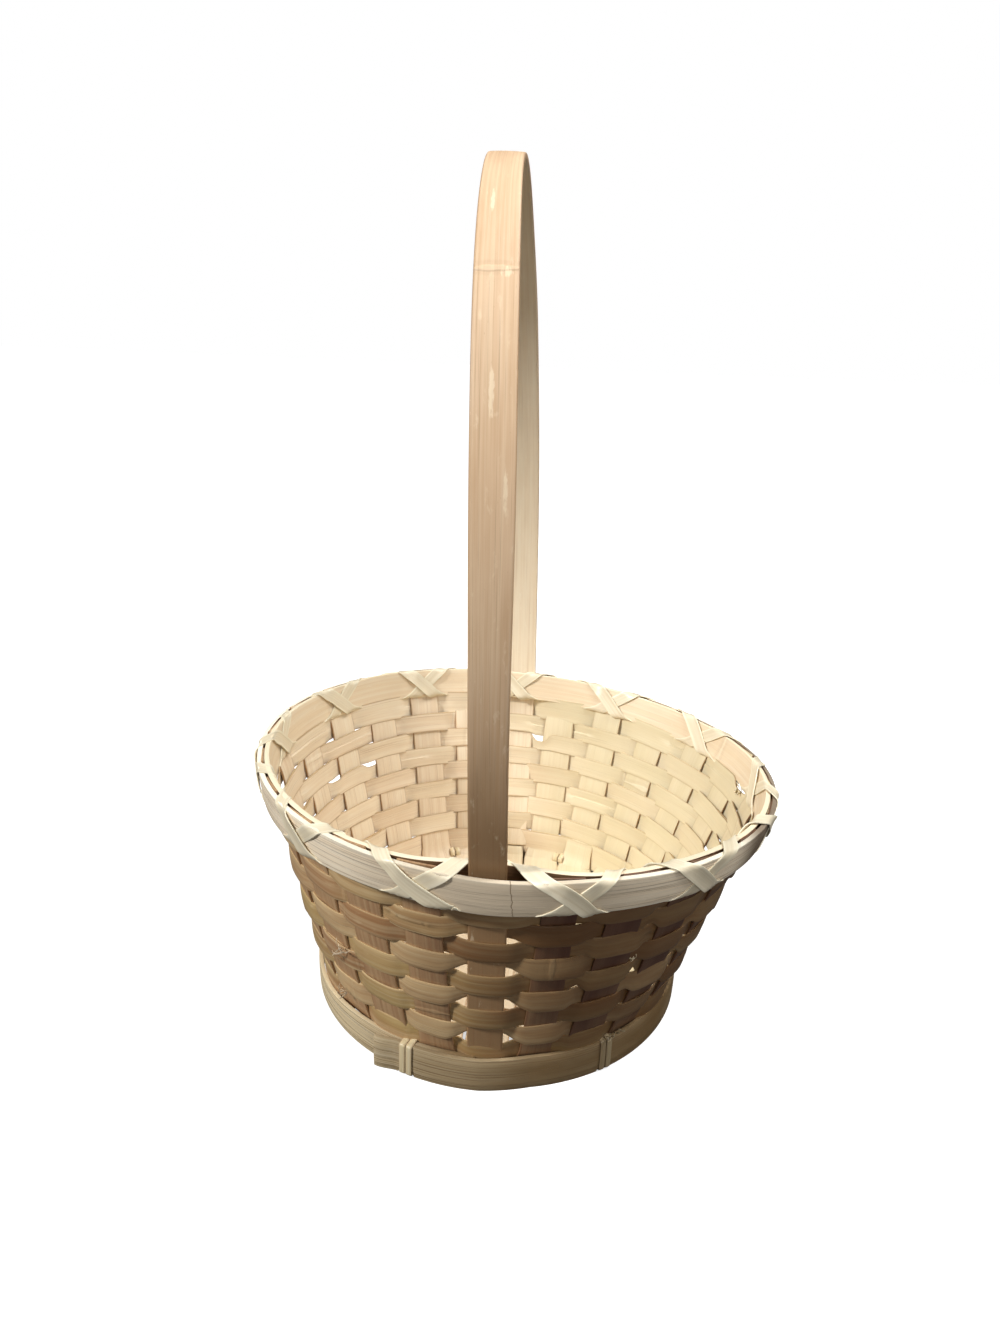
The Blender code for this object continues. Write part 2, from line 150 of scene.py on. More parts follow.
def stakeAngle(place):
    angle = place * fullTurn / basket["stakes"]
    return angle - basket["bunching"] * math.sin(2 * angle)


def wallPoint(angle, height):
    share = (height - foot["height"]) / (rimHeight - foot["height"])
    swell = share * (1 + basket["fullness"] * (1 - share))
    across = basket["footX"] + (basket["rimX"] - basket["footX"]) * swell
    along = basket["footY"] + (basket["rimY"] - basket["footY"]) * swell
    x = across * math.sin(angle) + basket["bulgeX"] * share * math.sin(angle) ** 2
    y = -along * math.cos(angle) + basket["setBack"] * share
    z = height - share * (basket["dipX"] * x + basket["dipY"] * y)
    return Vector((x, y, z)) - centre


def wallFrame(angle, height):
    # the point on the wall's middle surface, and its sideways, upward and outward directions
    here = wallPoint(angle, height)
    turn = basket["turnStep"]
    side = (wallPoint(angle + turn, height) - wallPoint(angle - turn, height)).normalized()
    up = (wallPoint(angle, height + basket["riseStep"]) - here).normalized()
    return here, side, up, side.cross(up).normalized()


wander = dict(seedPace=5.37, start=(0.31, 0.17, 0.53))


def wobble(seed, first, second=0.0):
    # a smooth wandering number, mostly between -1 and 1
    x, y, z = wander["start"]
    return 2 * noise.noise(Vector((seed * wander["seedPace"] + x, first + y, second + z)))


def stray(how, place, seed=0):
    size, pace, ownSeed = how
    return size * wobble(seed + ownSeed, place * pace)


def ease(value, low, high):
    share = min(max((value - low) / (high - low), 0.0), 1.0)
    return share * share * (3 - 2 * share)


def bell(value):
    # 1 at nought, falling smoothly to nothing on both sides
    return math.exp(-value * value)


def arch(share):
    # 1 along the middle of a strip and 0 at its edges
    return 1 - 4 * share * share


def squareWave(angle, squareness):
    # a cosine with flatter tops
    return math.tanh(squareness * math.cos(angle)) / math.tanh(squareness)


def away(place, spot=0):
    # places from a spot on the wall, the shorter way round
    return math.remainder(place - spot, basket["stakes"])


def legNear(place):
    return bell(math.remainder(place, basket["stakes"] / 2) / weaver["legWidth"])


def spring(angle, reach, nearOnly=False):
    near = bell(math.remainder(angle, fullTurn) / hoop["spread"])
    far = bell(math.remainder(angle - math.pi, fullTurn) / hoop["spread"])
    return reach * (near if nearOnly else near + far)


def crowding(angle, height):
    high = ease(height, hoopBottom - weaver["crowdUnder"], rimHeight)
    return weaver["crowd"] * high * (1 - spring(angle, 1.0))


# A strip is a grid laid on points[i][j], the i-th place along it and the j-th across it.
# Its UV map holds real lengths along and across the strip, which the grain follows.
strip = dict(
    grainStart=3.7,                 # each strip's grain starts this much further on
    weld=0.000005, bevelOver=math.radians(55), smoothUnder=math.radians(40),
)
pieceCount = 0


def deselect():
    for thing in list(bpy.context.selected_objects):
        thing.select_set(False)


def lengthsAlong(points):
    middle = len(points[0]) // 2
    lengths = [0.0]
    for before, after in zip(points, points[1:]):
        lengths.append(lengths[-1] + (after[middle] - before[middle]).length)
    return lengths


def layStrip(name, points, lines, width, ringed=False, weights=None, origin=None):
    global pieceCount
    pieceCount += 1
    start = strip["grainStart"] * pieceCount if origin is None else origin
    columns = len(points) - 1
    rows = len(lines) - 1
    lengths = lengthsAlong(points)
    deselect()
    bpy.ops.mesh.primitive_grid_add(x_subdivisions=columns, y_subdivisions=rows, size=1)
    piece = bpy.context.object
    piece.name = name
    mesh = piece.data
    mesh.name = name
    grain = mesh.uv_layers[0]
    grain.name = "grain"
    places = []
    for vertex in mesh.vertices:
        i = round((vertex.co.x + 0.5) * columns)
        j = round((vertex.co.y + 0.5) * rows)
        places.append((i, j))
        vertex.co = points[i][j]
    if weights:
        group = piece.vertex_groups.new(name="grown")
        for index, (i, j) in enumerate(places):
            group.add([index], weights[i], "REPLACE")
    for corner in mesh.loops:
        i, j = places[corner.vertex_index]
        grain.data[corner.index].uv = (lengths[i] + start, lines[j] * width)
    if ringed:
        bpy.ops.object.mode_set(mode="EDIT")
        bpy.ops.mesh.select_all(action="SELECT")
        bpy.ops.mesh.remove_doubles(threshold=strip["weld"])
        bpy.ops.object.mode_set(mode="OBJECT")
    return piece


def thicken(piece, sizes, outside, inside, thinnest=None, segments=2, edgesAs=0):
    # outside and inside are the finishes of the strip's skin side and pith side, edgesAs is 0 or 1 for
    # edges that go with one or the other, and thinnest is the share of the thickness that is left where
    # the strip has no weight
    piece.data.materials.clear()
    piece.data.materials.append(bamboo[outside])
    piece.data.materials.append(bamboo[inside])
    solid = piece.modifiers.new("thickness", "SOLIDIFY")
    solid.thickness = sizes["thickness"]
    solid.offset = 0
    solid.material_offset = 1
    solid.material_offset_rim = edgesAs
    if thinnest:
        solid.vertex_group = "grown"
        solid.thickness_vertex_group = thinnest
    edge = piece.modifiers.new("edge", "BEVEL")
    edge.width = sizes["bevel"]
    edge.segments = segments
    edge.limit_method = "ANGLE"
    edge.angle_limit = strip["bevelOver"]
    deselect()
    piece.select_set(True)
    bpy.context.view_layer.objects.active = piece
    bpy.ops.object.modifier_apply(modifier="thickness")
    bpy.ops.object.modifier_apply(modifier="edge")
    bpy.ops.object.shade_smooth_by_angle(angle=strip["smoothUnder"])


def settle(piece, slot, *nodes):
    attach(piece, "root")
    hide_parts(*nodes)


def stretch(stops, run):
    # between which two stops a run is, and how far through
    index = max(i for i in range(len(stops) - 1) if stops[i] <= run)
    return index, (run - stops[index]) / (stops[index + 1] - stops[index])


# Finishes. A Knot holds a shader value: sums, products and powers of knots add Math nodes.
class Knot:
    def __init__(self, wiring, socket):
        self.wiring = wiring
        self.socket = socket

    def __add__(self, other):
        return self.wiring.maths("ADD", self, other)

    def __sub__(self, other):
        return self.wiring.maths("SUBTRACT", self, other)

    def __rsub__(self, other):
        return self.wiring.maths("SUBTRACT", other, self)

    def __mul__(self, other):
        return self.wiring.maths("MULTIPLY", self, other)

    def __truediv__(self, other):
        return self.wiring.maths("DIVIDE", self, other)

    def __pow__(self, other):
        return self.wiring.maths("POWER", self, other)

    __radd__ = __add__
    __rmul__ = __mul__


class Wiring:
    def __init__(self, tree):
        self.tree = tree

    def node(self, kind, settings=None, inputs=None, output=0):
        made = self.tree.nodes.new(kind)
        for key, value in (settings or {}).items():
            setattr(made, key, value)
        for key, value in (inputs or {}).items():
            self.feed(made.inputs[key], value)
        return Knot(self, made.outputs[output])

    def feed(self, socket, value):
        if isinstance(value, Knot):
            self.tree.links.new(value.socket, socket)
        else:
            socket.default_value = value

    def maths(self, operation, *values):
        return self.node("ShaderNodeMath", {"operation": operation}, dict(enumerate(values)))

    def size(self, value):
        return self.maths("ABSOLUTE", value)

    def step(self, value, low, high):
        return self.node("ShaderNodeMapRange", {"interpolation_type": "SMOOTHSTEP"},
                         {"Value": value, "From Min": low, "From Max": high})

    def mix(self, share, first, second):
        return self.node("ShaderNodeMix", {"data_type": "RGBA"}, {0: share, 6: first, 7: second}, 2)

    def part(self, vector, number):
        return self.node("ShaderNodeSeparateXYZ", inputs={0: vector}, output=number)

    def noise(self, x, y, detail=2.0, rough=0.5, level=0.0):
        where = self.node("ShaderNodeCombineXYZ", inputs={0: x, 1: y, 2: level})
        return self.node("ShaderNodeTexNoise", inputs={
            "Vector": where, "Scale": 1.0, "Detail": detail, "Roughness": rough})


class Finish(Wiring):
    def __init__(self, name):
        self.material = bpy.data.materials.new(name)
        self.material.use_nodes = True
        self.surface = self.material.node_tree.nodes["Principled BSDF"]
        super().__init__(self.material.node_tree)

    def surfaceIs(self, values):
        for name, value in values.items():
            self.feed(self.surface.inputs[name], value)


# The patterns of the grain: how quickly each changes along and across the strip, its detail,
# roughness and level, and the values between which it begins to show. A fine one changes across
# by a share of the finish's fibreScale.
grains = dict(
    stripTone=dict(along=0.30, across=0, detail=0.0, shows=(0.34, 0.66)),
    patches=dict(along=16, across=70, detail=3.0, rough=0.55, shows=(0.30, 0.75)),
    bands=dict(along=7, across=20, detail=1.0, level=5.5, shows=(0.52, 0.66)),
    specks=dict(along=420, across=1500, level=2.9, shows=(0.69, 0.78)),
    wear=dict(along=75, across=210, detail=4.0, rough=0.6, level=9.1, shows=(0.60, 0.72)),
    fibres=dict(along=26, fine=1.0, detail=4.0, rough=0.62, shows=(0.45, 0.75)),
    strands=dict(along=9, fine=0.34, level=4.2, shows=(0.35, 0.70)),
    threads=dict(along=12, fine=1.6, level=7.7, shows=(0.0, 0.13)),     # above the finish's lineLow
)
# What is laid over the base colour, in this order: a pattern, its share and its tone
layers = (("bands", "bandShare", "band"), ("patches", "patchiness", "deep"),
          ("strands", "strandShare", "pale"), ("fibres", "fibreShare", "deep"),
          ("threads", "lineShare", "line"), ("specks", "speckShare", "line"), ("wear", "wearShare", "pale"))
# How far each of them stands out of the surface, or lies in it where the number is below nought
relief = dict(fibres=0.55, strands=0.35, specks=0.12, patches=0.5, lines=-0.45, joint=1.6, groove=-0.5,
              crack=-1.5)
# The joints, painted side and leg shade, the darker foot of the handle, its pale marks, and cracks
wood = dict(
    jointUneven=0.004, jointCore=0.0004, jointEdge=0.0016, grooveEdge=0.0022, grooveShare=0.5,
    sideShadeUneven=0.06, sideShadeLeast=0.42, sideShadeBands=0.60, sideShadePatches=0.42,
    legShadeUneven=0.03, legShadeNarrow=0.9, legShadeFrom=0.05, legShadeTo=0.13,
    lowUneven=0.08, lowShare=0.85, streakFrom=0.48, streakTo=0.66, streakShare=0.35, lowWear=0.4,
    markGrain=(210, 800, 3.0, 0.6, 3.3), markRagged=3.0, markFrom=0.2, markTo=0.9, markShare=0.75,
    crackGrain=(260, 0.5, 3.0, 0.6), crackSlant=0.14, crackJag=0.004,
    crackCore=0.0001, crackEdge=0.0003, crackShare=0.8,
    fibreRough=0.25, wearRough=0.12, lineRough=0.05,
)
# The settings that are tones, given as picture values
tones = ("base", "other", "deep", "pale", "line", "edge", "band", "lowTone", "sideShade", "legShade")


def colour(red, green, blue):
    # from picture values 0 to 255
    return tuple((part / 255) ** 2.2 for part in (red, green, blue)) + (1.0,)


def crackOver(finish, along, across, look):
    alongPace, row, detail, rough = wood["crackGrain"]
    jag = finish.noise(across * alongPace, row, detail, rough)
    slanted = along + across * wood["crackSlant"] - look["crackAt"]
    fromCrack = finish.size(slanted + (jag - 0.5) * wood["crackJag"])
    return 1 - finish.step(fromCrack, wood["crackCore"], wood["crackEdge"])


def markOver(finish, along, across, mark):
    # a pale scuff on the handle, with ragged edges
    start, side, length, width = mark
    alongPace, acrossPace, detail, rough, level = wood["markGrain"]
    ragged = finish.noise(along * alongPace, across * acrossPace, detail, rough, level) - 0.5
    reach = ((along - start) / length) ** 2.0 + ((across - side) / width) ** 2.0
    outside = finish.step(reach + ragged * wood["markRagged"], wood["markFrom"], wood["markTo"])
    return (1 - outside) * wood["markShare"]


def makeBamboo(name, look):
    finish = Finish(name)
    grainMap = finish.node("ShaderNodeUVMap", {"uv_map": "grain"})
    along = finish.part(grainMap, 0)
    across = finish.part(grainMap, 1)
    value = {}
    shown = {}
    for kind, grain in grains.items():
        pace = grain["fine"] * look["fibreScale"] if "fine" in grain else grain["across"]
        value[kind] = finish.noise(along * grain["along"], across * pace, grain.get("detail", 2.0),
                                   grain.get("rough", 0.5), grain.get("level", 0.0))
        low, high = grain["shows"]
        above = look["lineLow"] if kind == "threads" else 0.0
        shown[kind] = finish.step(value[kind], above + low, above + high)
    uneven = value["patches"] - 0.5
    banded = value["bands"] - 0.5

    beat = finish.maths("FRACT", along / look["jointSpacing"] + look["jointStart"])
    fromJoint = finish.size(beat - 0.5) * look["jointSpacing"] + uneven * wood["jointUneven"]
    fromGroove = fromJoint - wood["grooveEdge"]
    joint = 1 - finish.step(finish.size(fromJoint), wood["jointCore"], wood["jointEdge"])
    groove = 1 - finish.step(finish.size(fromGroove), wood["jointCore"], wood["grooveEdge"])

    tone = finish.mix(shown["stripTone"], look["base"], look["other"])
    for kind, share, over in layers:
        tone = finish.mix(shown[kind] * look[share], tone, look[over])
    # a band of the edge tone along both edges of the strip: the dark pith edges are painted shade between the
    # rows, the pale outer weaver edges a painted highlight
    edge = finish.step(finish.size(across), look["half"] - look["edgeWidth"], look["half"])
    tone = finish.mix(edge * look["edgeShare"], tone, look["edge"])

    place = finish.node("ShaderNodeTexCoord", output=3)
    if look["sideShade"]:
        # painted shade: one side of the basket is darkened, standing in for how the light falls on it
        x = finish.part(place, 0)
        y = finish.part(place, 1)
        toX, toY, fairUpTo, darkFrom = look["sideShadeWay"]
        toSide = x * toX + y * toY + banded * wood["sideShadeUneven"]
        much = (wood["sideShadeLeast"] + value["bands"] * wood["sideShadeBands"]
                + value["patches"] * wood["sideShadePatches"]) * look["sideShadeShare"]
        tone = finish.mix(finish.step(toSide, fairUpTo, darkFrom) * much, tone, look["sideShade"])
        # painted shade on the outer hoop's front beside the near leg
        toFront = banded * wood["legShadeUneven"] - y - finish.size(x) * wood["legShadeNarrow"]
        front = finish.step(toFront, wood["legShadeFrom"], wood["legShadeTo"])
        tone = finish.mix(front * look["legShadeShare"], tone, look["legShade"])
    if look["lowTone"]:
        z = finish.part(place, 2)
        low = 1 - finish.step(z + uneven * wood["lowUneven"], look["lowFrom"], look["lowTo"])
        streaks = finish.step(value["strands"], wood["streakFrom"], wood["streakTo"]) * wood["streakShare"]
        tone = finish.mix(low * wood["lowShare"], tone, look["lowTone"])
        tone = finish.mix(low * streaks, tone, look["line"])
        tone = finish.mix(low * shown["wear"] * wood["lowWear"], tone, look["pale"])
    tone = finish.mix(joint * look["jointShare"], tone, look["pale"])
    tone = finish.mix(groove * look["jointShare"] * wood["grooveShare"], tone, look["line"])
    for mark in look["marks"]:
        tone = finish.mix(markOver(finish, along, across, mark), tone, look["pale"])
    height = {**value, "lines": shown["threads"], "joint": joint, "groove": groove}
    if look["crackAt"] is not None:
        height["crack"] = crackOver(finish, along, across, look)
        tone = finish.mix(height["crack"] * wood["crackShare"], tone, look["line"])

    rough = (look["roughness"] + (value["fibres"] - 0.5) * wood["fibreRough"]
             + shown["wear"] * wood["wearRough"] - shown["threads"] * wood["lineRough"])
    bump = finish.node("ShaderNodeBump", inputs={
        "Strength": look["bump"], "Distance": look["bumpDepth"],
        "Height": sum(height[kind] * much for kind, much in relief.items() if kind in height)})
    finish.surfaceIs({
        "Base Color": tone, "Roughness": rough, "Specular IOR Level": look["gloss"], "Normal": bump})
    return finish.material


# A share is how much of something shows, and half is half the width of the strip
plainLook = dict(
    base=(236, 218, 188), other=(230, 208, 178), deep=(210, 182, 146), pale=(243, 232, 208),
    line=(160, 120, 82), edge=(180, 142, 100), band=(150, 96, 66),
    fibreScale=1500, patchiness=0.35, strandShare=0.35, fibreShare=0.30, lineShare=0.45, lineLow=0.60,
    speckShare=0.25, wearShare=0.25, bandShare=0.0, half=0.0055, edgeWidth=0.0009, edgeShare=0.35,
    jointSpacing=0.31, jointStart=0.0, jointShare=0.18, roughness=0.52, gloss=0.35, bump=0.55,
    bumpDepth=0.00025, lowTone=None, lowFrom=0.155, lowTo=0.272, marks=(), crackAt=None,
    # the side tone is painted shade laid on one side of the basket, the leg tone painted shade beside the
    # near leg
    sideShade=None, sideShadeShare=0.96, sideShadeWay=(0.75, -0.65, 0.02, 0.13),
    legShade=(200, 182, 156), legShadeShare=0.0,
)
# on the pith side the dark edges are painted shade between the rows and beside the stakes, and the side tone
# is painted shade on the +X side
pithLook = dict(lineShare=0.35, edgeShare=0.65, edge=(158, 118, 78), sideShade=(208, 196, 156),
                sideShadeShare=0.68, sideShadeWay=(1.0, 0.2, -0.02, 0.09))
finishes = dict(
    # the outer weavers: their pale edges are a painted highlight, and their side tone is painted shade
    weaverSkin=dict(
        base=(214, 182, 136), other=(190, 162, 108), deep=(164, 122, 84), pale=(230, 208, 164),
        line=(92, 62, 36), edge=(222, 198, 150), band=(158, 104, 72), half=0.0064, edgeWidth=0.0006,
        roughness=0.38, gloss=0.5, fibreShare=0.40, lineShare=0.4, patchiness=0.8, bandShare=0.7,
        jointShare=0.06, sideShade=(104, 72, 40)),
    weaverPith=dict(pithLook, half=0.0067, edgeWidth=0.0010),
    stakeSkin=dict(
        base=(192, 152, 112), other=(176, 138, 102), deep=(146, 104, 74), pale=(216, 188, 142),
        line=(88, 60, 36), edge=(140, 102, 66), half=0.0107, roughness=0.42, gloss=0.5, lineShare=0.35,
        # its side tone is painted shade
        sideShade=(86, 54, 38)),
    stakePith=dict(pithLook, half=0.0109, jointStart=0.4, edgeWidth=0.0012),
    outerHoop=dict(
        base=(255, 238, 210), other=(253, 232, 200), deep=(228, 202, 168), pale=(255, 246, 226),
        line=(140, 114, 86), edge=(254, 246, 224), half=0.00945, lineShare=0.6, lineLow=0.52,
        fibreShare=0.45, speckShare=0.4, edgeWidth=0.0016, edgeShare=0.75, roughness=0.62, gloss=0.3,
        bump=0.9, jointSpacing=2.0, jointShare=0.0, patchiness=0.2, crackAt=0.0120,
        # its far right and its front beside the near leg are darkened with painted shade
        sideShade=(104, 84, 64), sideShadeShare=0.85, sideShadeWay=(1.0, 0.0, 0.124, 0.146), legShadeShare=0.78),
    innerHoop=dict(
        base=(232, 210, 176), other=(232, 210, 176), edge=(250, 236, 204), half=0.00945, fibreShare=0.2,
        lineShare=0.2, roughness=0.45, jointSpacing=0.6, edgeWidth=0.0014, edgeShare=0.6),
    # the faces of the two hoops that face each other: a skin tone darkened with painted shade for the gap
    # between them
    shadedHoopBack=dict(
        base=(112, 84, 60), other=(100, 74, 52), deep=(80, 56, 40), pale=(134, 104, 76),
        line=(70, 48, 32), edge=(120, 92, 66), half=0.00945, jointShare=0.0),
    lashing=dict(
        base=(232, 218, 188), other=(224, 209, 178), deep=(198, 182, 146), pale=(246, 237, 214),
        line=(158, 144, 104), edge=(248, 242, 216), half=0.0037, fibreShare=0.18, lineShare=0.2,
        patchiness=0.2, wearShare=0.1, roughness=0.34, gloss=0.5, bump=0.4, edgeWidth=0.0008,
        edgeShare=0.4, jointSpacing=0.55, jointShare=0.15),
    handleSkin=dict(
        base=(223, 190, 154), other=(223, 190, 154), deep=(200, 160, 120), pale=(246, 224, 190),
        line=(146, 104, 68), edge=(160, 116, 78), half=0.0102, edgeWidth=0.0014, edgeShare=0.55,
        wearShare=0.4, roughness=0.46, gloss=0.4, jointSpacing=0.90, jointStart=0.039, jointShare=0.14,
        patchiness=0.6, fibreScale=2200, strandShare=0.3, lineShare=0.4, lowTone=(144, 110, 74),
        # each mark: how far along and across the strap, its length and its width
        marks=((0.360, 0.0010, 0.013, 0.0015), (0.320, -0.0055, 0.011, 0.0011),
               (0.455, 0.0030, 0.010, 0.0012), (0.413, -0.0045, 0.003, 0.0030))),
    handlePith=dict(half=0.0102, jointSpacing=0.90, jointStart=0.039, jointShare=0.2, edgeShare=0.1,
                    fibreShare=0.2, lineShare=0.25, roughness=0.48),
    footBand=dict(
        base=(243, 224, 184), other=(234, 212, 170), deep=(196, 168, 124), pale=(250, 240, 212),
        line=(104, 78, 48), edge=(240, 226, 190), half=0.0100, lineShare=0.75, lineLow=0.52,
        fibreShare=0.5, wearShare=0.4, edgeShare=0.4, roughness=0.56, jointSpacing=0.9, jointShare=0.0,
        # its side tone is painted shade on the front right
        fibreScale=1300, sideShade=(122, 96, 62), sideShadeShare=1.05, sideShadeWay=(0.75, -0.65, -0.03, 0.10)),
    binding=dict(
        base=(216, 200, 158), other=(208, 190, 146), half=0.0015, edgeWidth=0.0006, fibreShare=0.2,
        # its side tone is painted shade on the front right
        roughness=0.36, gloss=0.5, jointShare=0.0, sideShade=(118, 96, 66), sideShadeShare=0.75,
        sideShadeWay=(0.75, -0.65, 0.03, 0.12)),
)
bamboo = {}
for name, changes in finishes.items():
    look = {**plainLook, **changes}
    for tone in tones:
        if look[tone]:
            look[tone] = colour(*look[tone])
    bamboo[name] = makeBamboo(name, look)
print("finishes made:", len(bamboo))


# Weavers: each row is one strip wound once round the wall, its ends lapped
weaverLines = (-0.5, -0.33, -0.17, -0.02, 0.02, 0.18, 0.34, 0.5)
weaverStarts = (3.2, 15.3, 7.1, 20.2, 10.3, 17.2, 5.1, 13.2, 19.3, 8.1)
weaverSlits = {
    1: ((5.2, 6.9), (19.1, 20.2)),
    3: ((9.1, 10.8),),
    5: ((13.8, 15.2),),
    6: ((17.2, 18.4), (2.3, 3.2)),
    7: ((15.1, 16.9), (10.1, 11.9), (22.2, 23.4)),
    8: ((13.3, 14.8), (16.1, 18.2), (7.1, 8.9), (19.8, 21.2)),
}
# Holes where a row is drawn away from its neighbours: place, width in places, and how much it
# gives up at its lower and at its upper edge
weaverHoles = {
    4: ((6.55, 0.16, 0.0, 0.0026),),
    5: ((15.42, 0.23, 0.0, 0.0042), (16.5, 0.16, 0.0, 0.0024)),
    6: ((11.38, 0.19, 0.0, 0.0064),),
    7: ((11.38, 0.19, -0.0014, 0.0),),
    8: ((6.5, 0.22, 0.0, 0.0050),),
}


def slitsOf(row):
    # the first and last column of each of its slits
    slits = []
    for first, last in weaverSlits.get(row, ()):
        begin = round((first - weaverStarts[row]) % basket["stakes"] * weaver["steps"])
        slits.append((begin, begin + round((last - first) * weaver["steps"])))
    return slits


def givenUp(row, place):
    # how much of its width the row gives up at its lower and at its upper edge
    low = 0.0
    high = 0.0
    if row % 2 == 1 and row < lastRow:
        wedge = weaver["legWedge"] * (weaver["legReach"] - abs(away(place)))
        low += max(0.0, min(weaver["legPinch"], wedge)) * (weaver["highWedge"] if row == lastRow - 2 else 1.0)
    crossing = away(math.floor(place) + 0.5)
    if weaver["glintFrom"] < crossing < weaver["glintTo"]:
        opened = weaver["glintLeast"] + stray(weaver["glintStray"], crossing, row)
        low += weaver["glint"] * opened * bell((place % 1 - 0.5) / weaver["glintWidth"])
    if row == 0:
        low -= weaver["lowReach"]
    if row == lastRow - 1:
        high -= weaver["topReach"]
    for spot, width, lowHere, highHere in weaverHoles.get(row, ()):
        near = math.exp(-(away(place, spot) / width) ** 4)
        low += lowHere * near
        high += highHere * near
    return low, high


def makeWeaver(row):
    slits = slitsOf(row)
    slitRun = weaver["slitRun"]
    bottom = rowBottom(row) + (weaver["topRaise"] if row == lastRow else 0.0)
    pressed = weaver["topPress"] if row == lastRow else 1.0
    columns = round((basket["stakes"] + weaver["lap"]) * weaver["steps"])
    points = []
    for column in range(columns + 1):
        turn = column / weaver["steps"]
        place = weaverStarts[row] + turn
        angle = stakeAngle(place)
        wave = squareWave(math.pi * (place + row), weaver["squareness"])
        swing = weaver["swingOut"] if wave > 0 else weaver["swingIn"]
        swing *= pressed * (1 + stray(weaver["swingStray"], place, row))
        swing += weaver["legSwing"] * legNear(place)
        lapShift = weaver["lapLift"] * (ease(turn, basket["stakes"] - 1, basket["stakes"])
                                        - 1 + ease(turn, weaver["lap"], weaver["lap"] + 1))
        middle = bottom + weaver["height"] / 2 + stray(weaver["middleStray"], place, row)
        tall = weaver["crossTall"] + (weaver["tall"] - weaver["crossTall"]) * abs(wave)
        half = tall / 2 * (1 + stray(weaver["tallStray"], place, row))
        beside = bell(away(place) / weaver["sagWidth"])
        if row < len(weaver["sag"]):
            middle -= weaver["sag"][row] * beside
        if row == lastRow:
            middle -= weaver["topRaise"] * beside
        low, high = givenUp(row, place)
        half -= (low + high) / 2
        middle += (low - high) / 2
        cant = weaver["cant"] * (1 + stray(weaver["cantStray"], place, row)) * pressed
        here, side, up, out = wallFrame(angle, middle)
        lean = crowding(angle, middle)
        acrossWay = up * math.cos(cant) + out * math.sin(cant)
        split = max([0.0] + [ease(column, first, first + slitRun) * (1 - ease(column, last - slitRun, last))
                             for first, last in slits])
        line = []
        for share in weaverLines:
            step = split * weaver["slitStep"] * (1 if share > 0 else -1)
            line.append(here + out * (wave * swing + lapShift + lean + weaver["crown"] * arch(share) + step)
                        + acrossWay * 2 * half * share)
        points.append(line)
    piece = layStrip(f"woven_row_{row + 1:02d}", points, weaverLines, weaver["tall"])
    thicken(piece, weaver, "weaverSkin", "weaverPith")
    settle(piece, "weaver_bamboo", f"weaver_{row + 1:02d}")


for row in range(weaver["rows"]):
    makeWeaver(row)
print("weavers laid:", weaver["rows"])


# Stakes: strips that stand up one side of the wall, cross the base and stand up the other side
def floorCorner(number):
    here, side, up, out = wallFrame(stakeAngle(number), foot["height"])
    inward = Vector((-out.x, -out.y, 0)).normalized()
    return Vector((here.x, here.y, floorHeight)) + inward * foot["inset"]


def wallRun(number, top, turned):
    # middle points and side directions from the top of a stake down to the foot of the wall
    run = []
    angle = stakeAngle(number)
    bottom = foot["height"]
    steps = max(1, round((top - bottom) / stake["step"])) if top > bottom else 0
    for level in range(steps + 1):
        height = top + (bottom - top) * level / max(steps, 1)
        here, side, up, out = wallFrame(angle, height)
        row = (height - firstRow) / (weaver["height"] + weaver["gap"]) - 0.5
        sway = -stake["sway"] * math.cos(math.pi * (number + row))
        sway *= ease(height, bottom, bottom + stake["swayOver"])
        drift = stray(stake["driftStray"], height, number)
        drift *= ease(height, bottom, bottom + stake["driftOver"])
        lean = crowding(angle, height)
        run.append((here + out * (sway + lean) + side * drift, -side if turned else side))
    return run


def baseRun(first, last, crossed, startsUp):
    # the strip rises and dips over and under the strips it crosses
    way = (last - first).normalized()
    length = (last - first).length
    side = way.cross(Vector((0, 0, 1)))
    stops = [0.0] + crossed + [length]
    levels = [0.0] + [stake["layer"] * (1 if (number % 2 == 0) == startsUp else -1)
                      for number in range(len(crossed))] + [0.0]
    run = []
    steps = round(length / stake["step"])
    for step in range(1, steps):
        distance = length * step / steps
        index, share = stretch(stops, distance)
        turn = (1 - squareWave(math.pi * share, stake["squareness"])) / 2
        rise = levels[index] + (levels[index + 1] - levels[index]) * turn
        run.append((first + way * distance + Vector((0, 0, rise)), side))
    return run


def travelAt(run, index):
    # which way a run of points goes at one of them
    return (run[min(index + 1, len(run) - 1)][0] - run[max(index - 1, 0)][0]).normalized()


def makeStake(name, node, first, last, others, startsUp, top):
    begin = floorCorner(first)
    end = floorCorner(last)
    way = (end - begin).normalized()
    crossed = sorted((floorCorner(other) - begin).dot(way) for other in others)
    falling = wallRun(first, top, False)
    rising = wallRun(last, top, True)
    run = falling + [(begin, falling[-1][1])] + baseRun(begin, end, crossed, startsUp)
    run += [(end, rising[-1][1])] + rising[::-1]
    points = []
    for index, (here, side) in enumerate(run):
        travel = travelAt(run, index)
        out = travel.cross(side).normalized()
        across = out.cross(travel).normalized()
        width = stake["width"] * (1 + stray(stake["widthStray"], index, first))
        nearSide = 1 - ease(here.y, stake["narrowFrom"], stake["narrowTo"])
        width *= 1 - nearSide * (1 - stake["narrow"].get(first, 1.0))
        onBase = 1 - ease(here.z, floorHeight, foot["height"] + stake["baseBlend"])
        width *= 1 + stake["baseSpread"] * onBase
        points.append([here + across * width * share + out * stake["crown"] * arch(share)
                       for share in fiveLines])
    piece = layStrip(name, points, fiveLines, stake["width"])
    thicken(piece, stake, "stakeSkin", "stakePith")
    settle(piece, "stake_bamboo", node)


